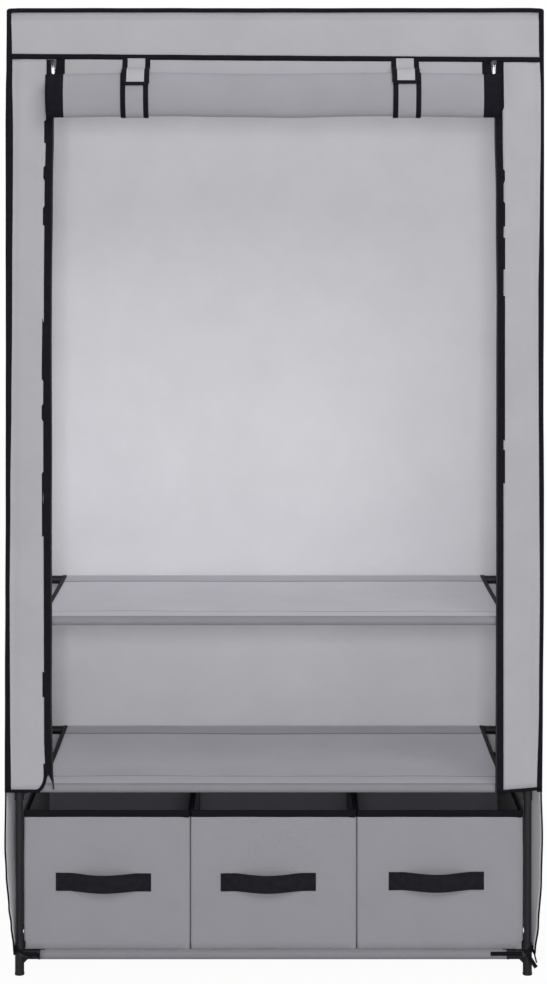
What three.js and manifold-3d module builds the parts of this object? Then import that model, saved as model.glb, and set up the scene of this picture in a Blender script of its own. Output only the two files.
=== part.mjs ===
// Free-standing fabric wardrobe: a steel tube frame in moulded connectors, a loose non-woven cover
// with bound seams and two zips, its front door rolled up and tied, three cloth shelves and three
// fabric storage boxes. Millimetres, +Z up, the front faces -Y, the floor is z = 0.
import * as THREE from 'three';
import { mergeVertices } from 'three/addons/utils/BufferGeometryUtils.js';
import Module from 'manifold-3d';

const wasm = await Module();
wasm.setup();

// Frame: post axes and tube levels
const POST_SPACING_X = 832;
const POST_SPACING_Y = 460;
const BOTTOM_LEVEL_Z = 33;
const LOWER_LEVEL_Z = 307.5;
const UPPER_LEVEL_Z = 582;
const TOP_LEVEL_Z = 1569;

// Steel tube, and the clearance of everything that slides on or lies against something else
const TUBE_OD = 12;
const TUBE_WALL = 0.8;
const GAP = 0.3;
const ROUND_SIDES = 12;
const SMALL_CURVE_STEPS = 4;

// Moulded connectors
const SOCKET_WALL = 1.2;
const SOCKET_REACH = 34;
const SLEEVE_REACH = 20;
const RIM_PROUD = 0.5;
const RIM_LENGTH = 3;
const WEB_THICKNESS = 2.4;
const WEB_REACH = 18.5;
const WEB_STEPS = 3;
const FOOT_FLOOR = 3;
const FOOT_PAD_HEIGHT = 4;
const ROOF_THICKNESS = 1.4;

// Cover
const CLOTH = 1.2;
const COVER_EASE_X = 10;
const COVER_EASE_Y = 4.8;
const SKIRT_DROP = 69;
const STRIP_INSIDE_POST = 40;
const STRIP_OVERHANG = 3.5;
const HEM_RISE = 3;
const HEM_DRAWN_IN = 9.2;
const SIDE_FOLD_DEPTH = 3;
const BACK_FOLD_DEPTH = 2.4;
const BACK_FOLDS = 3;
const COLUMNS_A_FOLD = 4;
const SIDE_COLUMNS = 8;
const PANEL_ROWS = 3;
const BINDING_THICKNESS = 1;
const BINDING_WIDTH = 8;
const BINDING_TOP_WIDTH = 6.4;
const BINDING_FLANK = 5;

// Rolled door and its ties
const DOOR_CLOTH = 0.9;
const DOOR_SHORT_OF_ZIP = 5.5;
const ROLL_SHORT_OF_STRIP = 6;
const ROLL_DROP = 25;
const ROLL_HEIGHT = 72;
const ROLL_DEPTH = 34;
const ROLL_PITCH = 1.9;
const ROLL_TURNS = 7;
const ROLL_STEPS_A_TURN = 16;
const ROLL_STATIONS = 4;
const ROLL_SAG = 2.5;
const ROLL_CLEARANCE = 7;
const BAND_TURN_DROP = 18;
const BAND_STEPS = 6;
const TIE_WIDTH = 45;
const TIE_THICKNESS = 1.4;
const TIE_INSIDE_LEFT_END = 148;
const TIE_INSIDE_RIGHT_END = 157;
const TIE_STEPS = 22;
const TIE_EASE = 0.9;
const TIE_HANG = 5.6;
const TIE_BACK_EASE = 1.2;
const TIE_BACK_RISE = 10.3;
const TIE_OVERLAP_SHARES = [0.24, 0.48];
const TIE_CREST_SHARE = -0.225;

// Zips
const ZIP_INSIDE_STRIP = 18.5;
const CHAIN_WIDTH = 3;
const CHAIN_DEPTH = 2.4;
const CHAIN_SPLIT = 2;
const TAPE_THICKNESS = 1;
const TAPE_TAIL = 8;
const SLIDER_WIDTH = 8.6;
const SLIDER_HEIGHT = 11;
const SLIDER_PLATE = 1;
const SLIDER_DROP = 11;
const CROWN_HEIGHT = 8;
const CROWN_STAND = 2.8;
const CROWN_BAR = 1.1;
const PULL_BAR = 1;
const PULL_WIDTH = 5;
const PULL_THICKNESS = 1.2;
const PULL_REACH = 15;
const PULL_CLEAR = 3.1;

// Cloth shelves
const SHELF_END_CLEAR = 6;
const SHELF_SAG = 3;
const SHELF_SAG_STEPS = 6;

// Storage boxes
const BOX_SHORT_OF_DEPTH = 15;
const BOX_HEADROOM = 37.5;
const BOX_SPACE = 2.2;
const BOX_RUN = 0.5;
const BOX_WALL = 3;
const BOX_CORNER = 6;
const BOX_CORNER_STEPS = 3;
const BOX_SETBACK = 2;
const BOX_RIM_HEIGHT = 8;
const BOX_RIM_PROUD = 0.7;
const HANDLE_LENGTH = 155;
const HANDLE_WIDTH = 31;
const HANDLE_THICKNESS = 2;
const HANDLE_SEWN = 24;
const HANDLE_STAND = 12;
const HANDLE_SAG = 4.5;
const HANDLE_DROP = 115;
const HANDLE_OFFSET_X = -8;
const HANDLE_STEPS = 12;

// Sizes that follow from the ones above
const POST_X = POST_SPACING_X / 2;
const POST_Y = POST_SPACING_Y / 2;
const SEAM_Z = TOP_LEVEL_Z - SKIRT_DROP;
const STRIP_EDGE_X = POST_X - STRIP_INSIDE_POST;
const STRIP_BOTTOM_Z = LOWER_LEVEL_Z - STRIP_OVERHANG;
const COVER_BOTTOM_Z = BOTTOM_LEVEL_Z + HEM_RISE;
const ZIP_CENTRE_X = STRIP_EDGE_X - ZIP_INSIDE_STRIP;
const DOOR_HALF_WIDTH = ZIP_CENTRE_X - DOOR_SHORT_OF_ZIP;
const ROLL_HALF_WIDTH = STRIP_EDGE_X - ROLL_SHORT_OF_STRIP;
const ROLL_TOP_Z = SEAM_Z - ROLL_DROP;
const SLIDER_REST_Z = SEAM_Z - SLIDER_DROP;
const SHELF_HALF_WIDTH = POST_X - SOCKET_REACH - SHELF_END_CLEAR;
const BOX_DEPTH = POST_SPACING_Y - BOX_SHORT_OF_DEPTH;
const BOX_TOP_Z = LOWER_LEVEL_Z - BOX_HEADROOM;
const HANDLE_Z = BOX_TOP_Z - HANDLE_DROP;
const TUBE_R = TUBE_OD / 2;
const BORE_R = TUBE_R + GAP;
const SOCKET_R = BORE_R + SOCKET_WALL;
const RIM_R = SOCKET_R + RIM_PROUD;
const COVER_X = POST_X + SOCKET_R + COVER_EASE_X + CLOTH;
const COVER_Y = POST_Y + SOCKET_R + COVER_EASE_Y + CLOTH;
const CAP_SEAT_Z = TOP_LEVEL_Z + RIM_R + GAP;
const CAP_TOP_Z = CAP_SEAT_Z + CLOTH;
const BINDING_REACH = GAP + BINDING_THICKNESS;
const SEAM_UNDERSIDE_Z = SEAM_Z - BINDING_WIDTH / 2 - GAP;

// Finishes
const finish = (color, roughness, metalness) =>
  new THREE.MeshStandardMaterial({ color, roughness, metalness });
const enamel = finish('#2b2b30', 0.45, 0.35);
const moulding = finish('#1f1f23', 0.5, 0);
const greyCloth = finish('#b4b3b8', 0.95, 0);
const boxCloth = finish('#95949a', 0.95, 0);
const webbing = finish('#222227', 0.9, 0);
const plated = finish('#b9bbc0', 0.3, 0.9);

// Joining and cutting of closed meshes
function solidOf(geometry) {
  const bare = geometry.clone();
  bare.deleteAttribute('normal');
  bare.deleteAttribute('uv');
  const merged = mergeVertices(bare);
  const vertProperties = Float32Array.from(merged.attributes.position.array);
  const triVerts = Uint32Array.from(merged.index.array);
  return new wasm.Manifold(new wasm.Mesh({ numProp: 3, vertProperties, triVerts }));
}

function geometryOf(solid) {
  const mesh = solid.getMesh();
  const geometry = new THREE.BufferGeometry();
  geometry.setAttribute('position', new THREE.BufferAttribute(mesh.vertProperties, 3));
  geometry.setIndex(new THREE.BufferAttribute(mesh.triVerts, 1));
  geometry.computeVertexNormals();
  return geometry;
}

const joined = (solids) => solids.reduce((whole, solid) => whole.add(solid));
const without = (solid, cuts) => solid.subtract(joined(cuts));

// A block with its faces at exactly the places given
function block(alongX, alongY, alongZ) {
  const geometry = new THREE.BoxGeometry();
  const corners = geometry.attributes.position;
  const end = (places, side) => places[side < 0 ? 0 : 1];
  for (let i = 0; i < corners.count; i += 1) {
    corners.setXYZ(i, end(alongX, corners.getX(i)), end(alongY, corners.getY(i)),
      end(alongZ, corners.getZ(i)));
  }
  return solidOf(geometry);
}

// A span given from either end, lowest first
const span = (a, b) => (a < b ? [a, b] : [b, a]);
const around = (centre, half) => [centre - half, centre + half];

// A round bar along an axis, from one place on it to another
const AXIS_TURN = { x: [0, 0, -Math.PI / 2], y: [0, 0, 0], z: [Math.PI / 2, 0, 0] };
function bar(axis, radius, from, to) {
  const [low, high] = span(from, to);
  const geometry = new THREE.CylinderGeometry(radius, radius, high - low, ROUND_SIDES);
  const [rx, ry, rz] = AXIS_TURN[axis];
  geometry.rotateX(rx).rotateY(ry).rotateZ(rz);
  const middle = (low + high) / 2;
  const place = { x: [middle, 0, 0], y: [0, middle, 0], z: [0, 0, middle] }[axis];
  return solidOf(geometry.translate(...place));
}

// A flat outline drawn in (y, z) and pulled along X
const ALONG_X = new THREE.Matrix4().makeBasis(
  new THREE.Vector3(0, 1, 0),
  new THREE.Vector3(0, 0, 1),
  new THREE.Vector3(1, 0, 0),
);
function pulledAlongX(shape, [x0, x1], steps = 1) {
  const options = { depth: x1 - x0, bevelEnabled: false, steps, curveSegments: ROUND_SIDES / 2 };
  return new THREE.ExtrudeGeometry(shape, options).applyMatrix4(ALONG_X).translate(x0, 0, 0);
}

// A cloth strip seen edge on: a centre line with a thickness on each side of it
function ribbonOutline(line, insideOf, outsideOf) {
  const sides = line.map((point, i) => {
    const before = line[Math.max(i - 1, 0)];
    const after = line[Math.min(i + 1, line.length - 1)];
    const along = after.clone().sub(before).normalize();
    const across = new THREE.Vector2(along.y, -along.x);
    return [point.clone().addScaledVector(across, insideOf(i)),
      point.clone().addScaledVector(across, -outsideOf(i))];
  });
  const there = sides.map((pair) => pair[0]);
  const back = sides.map((pair) => pair[1]).reverse();
  return new THREE.Shape([...there, ...back]);
}

// A cloth panel as a closed solid: a grid of places on its outer face, at shares across and at
// heights, and the same grid one thickness inwards
function panel(shares, heights, outerFace, inwards) {
  const columns = shares.length - 1;
  const rows = heights.length - 1;
  const points = [0, 1].flatMap((depth) => heights.flatMap((z) =>
    shares.map((share) => outerFace(share, z).addScaledVector(inwards, depth))));
  const layer = (columns + 1) * (rows + 1);
  const at = (i, j, depth) => depth * layer + j * (columns + 1) + i;
  const faces = [];
  const quad = (a, b, c, d) => faces.push(a, b, c, a, c, d);
  for (let j = 0; j < rows; j += 1) {
    for (let i = 0; i < columns; i += 1) {
      quad(at(i, j, 0), at(i + 1, j, 0), at(i + 1, j + 1, 0), at(i, j + 1, 0));
      quad(at(i, j, 1), at(i, j + 1, 1), at(i + 1, j + 1, 1), at(i + 1, j, 1));
    }
  }
  for (let i = 0; i < columns; i += 1) {
    quad(at(i, 0, 1), at(i + 1, 0, 1), at(i + 1, 0, 0), at(i, 0, 0));
    quad(at(i, rows, 0), at(i + 1, rows, 0), at(i + 1, rows, 1), at(i, rows, 1));
  }
  for (let j = 0; j < rows; j += 1) {
    quad(at(0, j, 0), at(0, j + 1, 0), at(0, j + 1, 1), at(0, j, 1));
    quad(at(columns, j, 1), at(columns, j + 1, 1), at(columns, j + 1, 0), at(columns, j, 0));
  }
  const geometry = new THREE.BufferGeometry().setFromPoints(points);
  geometry.setIndex(faces);
  return solidOf(geometry);
}

const wardrobe = new THREE.Group();
function place(name, geometry, material, x = 0, y = 0, z = 0) {
  const mesh = new THREE.Mesh(geometry, material);
  mesh.name = name;
  mesh.position.set(x, y, z);
  wardrobe.add(mesh);
  return mesh;
}

const SIDES = [['left', -1], ['right', 1]];
const ENDS = [['front', -1], ['rear', 1]];
const LEVELS = [
  ['bottom', BOTTOM_LEVEL_Z],
  ['lower', LOWER_LEVEL_Z],
  ['upper', UPPER_LEVEL_Z],
  ['top', TOP_LEVEL_Z],
];

// Connectors: a sleeve round the post, a socket towards the middle of the width and one towards
// the middle of the depth, rims at their mouths, and webs in the three corners between them
function web() {
  const shape = new THREE.Shape();
  shape.moveTo(0, 0);
  shape.lineTo(WEB_REACH, 0);
  shape.quadraticCurveTo(SOCKET_R, SOCKET_R, 0, WEB_REACH);
  shape.closePath();
  const options = { depth: WEB_THICKNESS, bevelEnabled: false, curveSegments: WEB_STEPS };
  return new THREE.ExtrudeGeometry(shape, options).translate(0, 0, -WEB_THICKNESS / 2);
}

function turnedWeb(toX, toY) {
  const basis = new THREE.Matrix4().makeBasis(toX, toY, toX.clone().cross(toY));
  return solidOf(web().applyMatrix4(basis));
}

function connector(level, inX, inY) {
  const bottom = level === 'bottom' ? -BOTTOM_LEVEL_Z : -SLEEVE_REACH;
  const top = level === 'top' ? SOCKET_R : SLEEVE_REACH;
  const mouthX = inX * SOCKET_REACH;
  const mouthY = inY * SOCKET_REACH;
  const stop = SOCKET_R;
  const towardsX = new THREE.Vector3(inX, 0, 0);
  const towardsY = new THREE.Vector3(0, inY, 0);
  const down = new THREE.Vector3(0, 0, -1);
  const bulk = [
    bar('z', SOCKET_R, bottom, top),
    bar('x', SOCKET_R, 0, mouthX),
    bar('y', SOCKET_R, 0, mouthY),
    bar('x', RIM_R, mouthX - inX * RIM_LENGTH, mouthX),
    bar('y', RIM_R, mouthY - inY * RIM_LENGTH, mouthY),
    turnedWeb(towardsX, down),
    turnedWeb(towardsY, down),
    turnedWeb(towardsX, towardsY),
  ];
  if (level === 'bottom') bulk.push(bar('z', RIM_R, bottom, bottom + FOOT_PAD_HEIGHT));
  const postFrom = level === 'bottom' ? bottom + FOOT_FLOOR : bottom - RIM_LENGTH;
  const postTo = level === 'top' ? top - ROOF_THICKNESS : top + RIM_LENGTH;
  const bores = [
    bar('z', BORE_R, postFrom, postTo),
    bar('x', BORE_R, inX * stop, mouthX + inX * RIM_LENGTH),
    bar('y', BORE_R, inY * stop, mouthY + inY * RIM_LENGTH),
  ];
  return without(joined(bulk), bores);
}

for (const [level, z] of LEVELS) {
  for (const [end, toY] of ENDS) {
    for (const [side, toX] of SIDES) {
      const geometry = geometryOf(connector(level, -toX, -toY));
      place(`connector_${level}_${end}_${side}`, geometry, moulding, toX * POST_X, toY * POST_Y, z);
    }
  }
}

// Steel tubes: a ring profile turned about its axis
function tube(length) {
  const inner = TUBE_R - TUBE_WALL;
  const half = length / 2;
  const ring = [[inner, -half], [TUBE_R, -half], [TUBE_R, half], [inner, half], [inner, -half]];
  return new THREE.LatheGeometry(ring.map(([r, y]) => new THREE.Vector2(r, y)), ROUND_SIDES);
}

function placeTube(name, axis, length, x, y, z) {
  const mesh = place(name, tube(length), enamel, x, y, z);
  mesh.rotation.set(...AXIS_TURN[axis]);
}

const postBottom = FOOT_FLOOR + GAP;
const postTop = TOP_LEVEL_Z + SOCKET_R - ROOF_THICKNESS - GAP;
for (const [end, toY] of ENDS) {
  for (const [side, toX] of SIDES) {
    const middle = (postBottom + postTop) / 2;
    placeTube(`post_${end}_${side}`, 'z', postTop - postBottom, toX * POST_X, toY * POST_Y, middle);
  }
}

const tubeInset = 2 * (SOCKET_R + GAP);
for (const [level, z] of LEVELS) {
  for (const [end, toY] of ENDS) {
    placeTube(`cross_tube_${level}_${end}`, 'x', POST_SPACING_X - tubeInset, 0, toY * POST_Y, z);
  }
  for (const [side, toX] of SIDES) {
    placeTube(`side_tube_${level}_${side}`, 'y', POST_SPACING_Y - tubeInset, toX * POST_X, 0, z);
  }
}

// Hanging rail: a tube with a moulded tee pushed on each end, each clasping a top side tube
function hangingRail() {
  const tees = SIDES.flatMap(([, toX]) => [
    bar('y', SOCKET_R, -SLEEVE_REACH, SLEEVE_REACH).translate([toX * POST_X, 0, 0]),
    bar('x', SOCKET_R, toX * (POST_X - SOCKET_REACH), toX * POST_X),
    bar('x', RIM_R, toX * (POST_X - SOCKET_REACH), toX * (POST_X - SOCKET_REACH + RIM_LENGTH)),
  ]);
  const clasps = SIDES.map(([, toX]) =>
    bar('y', BORE_R, -SLEEVE_REACH - GAP, SLEEVE_REACH + GAP).translate([toX * POST_X, 0, 0]));
  const whole = joined([bar('x', TUBE_R, -POST_X, POST_X), ...tees]);
  return without(whole, [...clasps, bar('x', TUBE_R - TUBE_WALL, -POST_X, POST_X)]);
}
place('hanging_rail', geometryOf(hangingRail()), enamel, 0, 0, TOP_LEVEL_Z);

// Below the strips the free front edge of each side of the cover is drawn in to the leg
function drawnInBy(y, z) {
  const drop = Math.max((STRIP_BOTTOM_Z - z) / (STRIP_BOTTOM_Z - COVER_BOTTOM_Z), 0);
  return HEM_DRAWN_IN * drop * (COVER_Y - y) / (2 * COVER_Y);
}

// Cover: a lid over the frame, a back, and two sides that turn the corner into the front strips
function coverCap() {
  const outside = block([-COVER_X, COVER_X], [-COVER_Y, COVER_Y], [SEAM_Z, CAP_TOP_Z]);
  const x = COVER_X - CLOTH;
  const y = COVER_Y - CLOTH;
  return without(outside, [block([-x, x], [-y, y], [SEAM_Z - CLOTH, CAP_SEAT_Z])]);
}
place('cover_cap', geometryOf(coverCap()), greyCloth);

const panelTop = SEAM_Z - GAP;
const evenly = (from, to, parts) => Array.from({ length: parts + 1 }, (_, i) =>
  THREE.MathUtils.lerp(from, to, i / parts));
const panelHeights = [COVER_BOTTOM_Z, ...evenly(STRIP_BOTTOM_Z, panelTop, PANEL_ROWS)];
// Folds lie between the seam and the hem, and fade out at both
const foldFade = (z) => Math.sin(Math.PI * (z - COVER_BOTTOM_Z) / (panelTop - COVER_BOTTOM_Z));

function coverSide(toX) {
  const rear = COVER_Y - CLOTH - GAP;
  const [from, to] = toX > 0 ? [-COVER_Y, rear] : [rear, -COVER_Y];
  const sideFace = (share, z) => {
    const y = THREE.MathUtils.lerp(from, to, share);
    const fold = SIDE_FOLD_DEPTH * Math.sin(2 * Math.PI * share) ** 2 * foldFade(z);
    return new THREE.Vector3(toX * (COVER_X - fold - drawnInBy(y, z)), y, z);
  };
  const inwards = new THREE.Vector3(-toX * CLOTH, 0, 0);
  const strip = block(span(toX * STRIP_EDGE_X, toX * COVER_X), [-COVER_Y, CLOTH - COVER_Y],
    [STRIP_BOTTOM_Z, panelTop]);
  return panel(evenly(0, 1, SIDE_COLUMNS), panelHeights, sideFace, inwards).add(strip);
}
for (const [side, toX] of SIDES) {
  place(`cover_side_${side}`, geometryOf(coverSide(toX)), greyCloth);
}

function coverBack() {
  const face = (share, z) => new THREE.Vector3(
    THREE.MathUtils.lerp(COVER_X, -COVER_X, share),
    COVER_Y - BACK_FOLD_DEPTH * Math.sin(BACK_FOLDS * Math.PI * share) ** 2 * foldFade(z),
    z,
  );
  const columns = evenly(0, 1, COLUMNS_A_FOLD * BACK_FOLDS);
  return panel(columns, panelHeights, face, new THREE.Vector3(0, -CLOTH, 0));
}
place('cover_back', geometryOf(coverBack()), greyCloth);

// Bound seams: a thin skin round the cover, kept only along its edges and seams. The part below
// the strips is drawn in with the sides.
const bindingX = COVER_X + BINDING_REACH;
const bindingY = COVER_Y + BINDING_REACH;
const cornerX = COVER_X - BINDING_WIDTH;
const cornerY = COVER_Y - BINDING_FLANK;

function skin(from, to) {
  const hollowX = COVER_X + GAP;
  const hollowY = COVER_Y + GAP;
  const hollowTo = Math.min(to + GAP, CAP_TOP_Z + GAP);
  return without(block([-bindingX, bindingX], [-bindingY, bindingY], [from, to]),
    [block([-hollowX, hollowX], [-hollowY, hollowY], [from - GAP, hollowTo])]);
}

const cornerZones = (from, to) => SIDES.flatMap(([, toX]) => ENDS.map(([, toY]) =>
  block(span(toX * cornerX, toX * bindingX), span(toY * cornerY, toY * bindingY), [from, to])));

function upperBinding() {
  const top = CAP_TOP_Z + BINDING_REACH;
  const across = [-bindingX, bindingX];
  const deep = [-bindingY, bindingY];
  const lidEdge = without(block(across, deep, [top - BINDING_TOP_WIDTH, top]),
    [block([-cornerX, cornerX], [-cornerY, cornerY], [SEAM_Z, top + GAP])]);
  const stripFeet = SIDES.map(([, toX]) =>
    block(span(toX * STRIP_EDGE_X, toX * bindingX), [-bindingY, -cornerY],
      [STRIP_BOTTOM_Z, STRIP_BOTTOM_Z + BINDING_WIDTH]));
  const seam = block(across, deep, around(SEAM_Z, BINDING_WIDTH / 2));
  const zones = [lidEdge, seam, ...cornerZones(STRIP_BOTTOM_Z, top), ...stripFeet];
  return skin(STRIP_BOTTOM_Z, top).intersect(joined(zones));
}

function lowerBinding() {
  const hem = without(block([-bindingX, bindingX], [-bindingY, bindingY],
    [COVER_BOTTOM_Z, COVER_BOTTOM_Z + BINDING_WIDTH]),
  [block([-cornerX, cornerX], [-bindingY - GAP, cornerY], [COVER_BOTTOM_Z - GAP, STRIP_BOTTOM_Z])]);
  const zones = [hem, ...cornerZones(COVER_BOTTOM_Z, STRIP_BOTTOM_Z)];
  const sides = skin(COVER_BOTTOM_Z, STRIP_BOTTOM_Z).intersect(joined(zones));
  const openFront = block([-bindingX - GAP, bindingX + GAP], [-bindingY - GAP, -COVER_Y],
    [COVER_BOTTOM_Z - GAP, STRIP_BOTTOM_Z + GAP]);
  const geometry = geometryOf(without(sides, [openFront]));
  const corners = geometry.attributes.position;
  for (let i = 0; i < corners.count; i += 1) {
    const x = corners.getX(i);
    corners.setX(i, x - Math.sign(x) * drawnInBy(corners.getY(i), corners.getZ(i)));
  }
  return solidOf(geometry);
}
place('cover_binding', geometryOf(upperBinding().add(lowerBinding())), webbing);

// Rolled door: a flat band from the seam, then turns of one unbroken sheet
const doorPlaneY = DOOR_CLOTH / 2 - COVER_Y;
const rollBackY = -COVER_Y - ROLL_CLEARANCE;
const rollCentreY = rollBackY - ROLL_DEPTH / 2;
const rollCentreZ = ROLL_TOP_Z - ROLL_HEIGHT / 2;

function rollPoint(turns, shrink) {
  const angle = 2 * Math.PI * turns;
  return new THREE.Vector2(
    rollCentreY + (ROLL_DEPTH / 2 - DOOR_CLOTH / 2 - shrink) * Math.cos(angle),
    rollCentreZ - (ROLL_HEIGHT / 2 - DOOR_CLOTH / 2 - shrink) * Math.sin(angle),
  );
}

function rollLine() {
  const count = ROLL_TURNS * ROLL_STEPS_A_TURN;
  return Array.from({ length: count + 1 }, (_, i) => {
    const turns = i / ROLL_STEPS_A_TURN;
    return rollPoint(turns, ROLL_PITCH * turns);
  });
}

function bandLine() {
  const top = new THREE.Vector2(doorPlaneY, panelTop);
  const bend = new THREE.Vector2(doorPlaneY, ROLL_TOP_Z);
  const meets = rollPoint(0, 0);
  const above = new THREE.Vector2(meets.x, ROLL_TOP_Z - BAND_TURN_DROP);
  return new THREE.CubicBezierCurve(top, bend, above, meets).getPoints(BAND_STEPS);
}

// The least distance between one turn of the sheet and the next, face to face
function leastGap(line) {
  let least = Infinity;
  for (let i = 0; i < line.length; i += 1) {
    for (let j = i + ROLL_STEPS_A_TURN - 2; j < line.length - 1; j += 1) {
      const along = line[j + 1].clone().sub(line[j]);
      const to = line[i].clone().sub(line[j]);
      const share = THREE.MathUtils.clamp(to.dot(along) / along.lengthSq(), 0, 1);
      least = Math.min(least, to.addScaledVector(along, -share).length());
    }
  }
  return least - DOOR_CLOTH;
}

function rolledDoor() {
  const half = () => DOOR_CLOTH / 2;
  const line = rollLine();
  console.log(`rolled door: least gap between its turns ${leastGap(line).toFixed(2)} mm`);
  const turns = pulledAlongX(ribbonOutline(line, half, half),
    [-ROLL_HALF_WIDTH, ROLL_HALF_WIDTH], ROLL_STATIONS);
  const band = pulledAlongX(ribbonOutline(bandLine(), half, half),
    [-DOOR_HALF_WIDTH, DOOR_HALF_WIDTH], ROLL_STATIONS);
  return solidOf(sagged(turns)).add(solidOf(sagged(band)));
}

// The roll hangs a little lower between its ties; the band follows it from the straight seam
function sagged(geometry) {
  const positions = geometry.attributes.position;
  for (let i = 0; i < positions.count; i += 1) {
    const across = positions.getX(i) / ROLL_HALF_WIDTH;
    const height = positions.getZ(i);
    const below = THREE.MathUtils.clamp((panelTop - height) / (panelTop - ROLL_TOP_Z), 0, 1);
    positions.setZ(i, height - ROLL_SAG * Math.cos(Math.PI * across) ** 2 * below);
  }
  return geometry;
}
place('rolled_door', geometryOf(rolledDoor()), greyCloth);

// Ties: a strap down the front from the seam, closed on one that comes round under the roll
// from behind; where they lie on each other the strap is double
function tieLine() {
  const off = TIE_EASE + TIE_THICKNESS / 2;
  const round = Array.from({ length: TIE_STEPS }, (_, i) => {
    const turns = THREE.MathUtils.lerp(TIE_CREST_SHARE, -1, i / (TIE_STEPS - 1));
    return rollPoint(turns, -DOOR_CLOTH / 2 - off);
  });
  const frontY = -COVER_Y - GAP - TIE_THICKNESS / 2;
  const backY = GAP + CLOTH + TIE_THICKNESS / 2 - COVER_Y;
  const front = [[frontY, SEAM_UNDERSIDE_Z], [frontY, SEAM_UNDERSIDE_Z - TIE_HANG]];
  const back = [[rollBackY + off + TIE_BACK_EASE, rollCentreZ + TIE_BACK_RISE], [backY, ROLL_TOP_Z],
    [backY, SEAM_UNDERSIDE_Z]];
  const point = ([y, z]) => new THREE.Vector2(y, z);
  return [...front.map(point), ...round, ...back.map(point)];
}

function tie() {
  const line = tieLine();
  const inside = () => TIE_THICKNESS / 2;
  const outside = (i) => {
    const share = i / (line.length - 1);
    const double = share > TIE_OVERLAP_SHARES[0] && share < TIE_OVERLAP_SHARES[1];
    return TIE_THICKNESS / 2 + (double ? TIE_THICKNESS : 0);
  };
  return pulledAlongX(ribbonOutline(line, inside, outside), [-TIE_WIDTH / 2, TIE_WIDTH / 2]);
}
place('door_tie_left', tie(), webbing, TIE_INSIDE_LEFT_END - ROLL_HALF_WIDTH);
place('door_tie_right', tie(), webbing, ROLL_HALF_WIDTH - TIE_INSIDE_RIGHT_END);

// Zips: a tape with half a chain on its edge, a slider round the chain and a pull on its crown
const tapeMiddleY = TAPE_THICKNESS / 2 - COVER_Y;
const chainFrom = CHAIN_SPLIT / 2;
const chainTo = chainFrom + CHAIN_WIDTH;
const tapeBottom = STRIP_BOTTOM_Z - TAPE_TAIL;

function zipTape(toX) {
  const tapeTo = STRIP_EDGE_X - GAP - ZIP_CENTRE_X;
  const height = [tapeBottom, SEAM_UNDERSIDE_Z];
  const tape = block(span(toX * chainFrom, toX * tapeTo), around(0, TAPE_THICKNESS / 2), height);
  const chain = block(span(toX * chainFrom, toX * chainTo), around(0, CHAIN_DEPTH / 2), height);
  return tape.add(chain);
}

const plateInside = CHAIN_DEPTH / 2 + GAP;
const plateOutside = plateInside + SLIDER_PLATE;
const halfHeight = SLIDER_HEIGHT / 2;
const postHalf = CHAIN_SPLIT / 2 - GAP;

function sliderPlate() {
  const half = SLIDER_WIDTH / 2;
  const waist = half - SLIDER_PLATE;
  const shape = new THREE.Shape();
  shape.moveTo(-waist, -halfHeight);
  shape.lineTo(waist, -halfHeight);
  shape.quadraticCurveTo(half, 0, half, waist);
  shape.quadraticCurveTo(half, halfHeight, 0, halfHeight);
  shape.quadraticCurveTo(-half, halfHeight, -half, waist);
  shape.quadraticCurveTo(-half, 0, -waist, -halfHeight);
  const options = { depth: SLIDER_PLATE, bevelEnabled: false, curveSegments: SMALL_CURVE_STEPS };
  return new THREE.ExtrudeGeometry(shape, options).rotateX(Math.PI / 2);
}

const pivotY = -plateOutside - (CROWN_STAND - CROWN_BAR) / 2;
const pivotZ = CROWN_BAR + PULL_BAR / 2 + GAP - CROWN_HEIGHT / 2;

function slider() {
  const front = solidOf(sliderPlate()).translate([0, -plateInside, 0]);
  const back = solidOf(sliderPlate()).translate([0, plateOutside, 0]);
  const post = block(around(0, postHalf), around(0, plateOutside - SLIDER_PLATE / 2),
    around(0, halfHeight - SLIDER_PLATE));
  const high = CROWN_HEIGHT / 2;
  const stand = -plateOutside - CROWN_STAND;
  const crown = block(around(0, postHalf), [stand, -plateOutside + SLIDER_PLATE / 2], [-high, high]);
  const window = block(around(0, SLIDER_WIDTH), [stand + CROWN_BAR, -plateOutside],
    [CROWN_BAR - high, high - CROWN_BAR]);
  return joined([front, back, post, without(crown, [window])]);
}

function pull() {
  const armInside = postHalf + GAP;
  const armOutside = armInside + PULL_BAR;
  const cross = new THREE.CylinderGeometry(PULL_BAR / 2, PULL_BAR / 2, 2 * armOutside,
    2 * SMALL_CURVE_STEPS);
  const arms = SIDES.map(([, toX]) => block(span(toX * armInside, toX * armOutside),
    around(0, PULL_THICKNESS / 2), [-PULL_CLEAR - PULL_BAR, PULL_BAR / 2]));
  const tabShape = new THREE.Shape();
  const half = PULL_WIDTH / 2;
  const end = -PULL_REACH + half;
  tabShape.moveTo(half, end);
  tabShape.lineTo(half, -PULL_CLEAR - PULL_BAR);
  tabShape.lineTo(armOutside, -PULL_CLEAR);
  tabShape.lineTo(-armOutside, -PULL_CLEAR);
  tabShape.lineTo(-half, -PULL_CLEAR - PULL_BAR);
  tabShape.lineTo(-half, end);
  tabShape.absarc(0, end, half, Math.PI, 2 * Math.PI, false);
  const curveSegments = 2 * SMALL_CURVE_STEPS;
  const options = { depth: PULL_THICKNESS, bevelEnabled: false, curveSegments };
  const tab = new THREE.ExtrudeGeometry(tabShape, options).rotateX(Math.PI / 2);
  const hung = solidOf(tab.translate(0, PULL_THICKNESS / 2, 0));
  return joined([solidOf(cross.rotateZ(Math.PI / 2)), ...arms, hung]);
}

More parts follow.
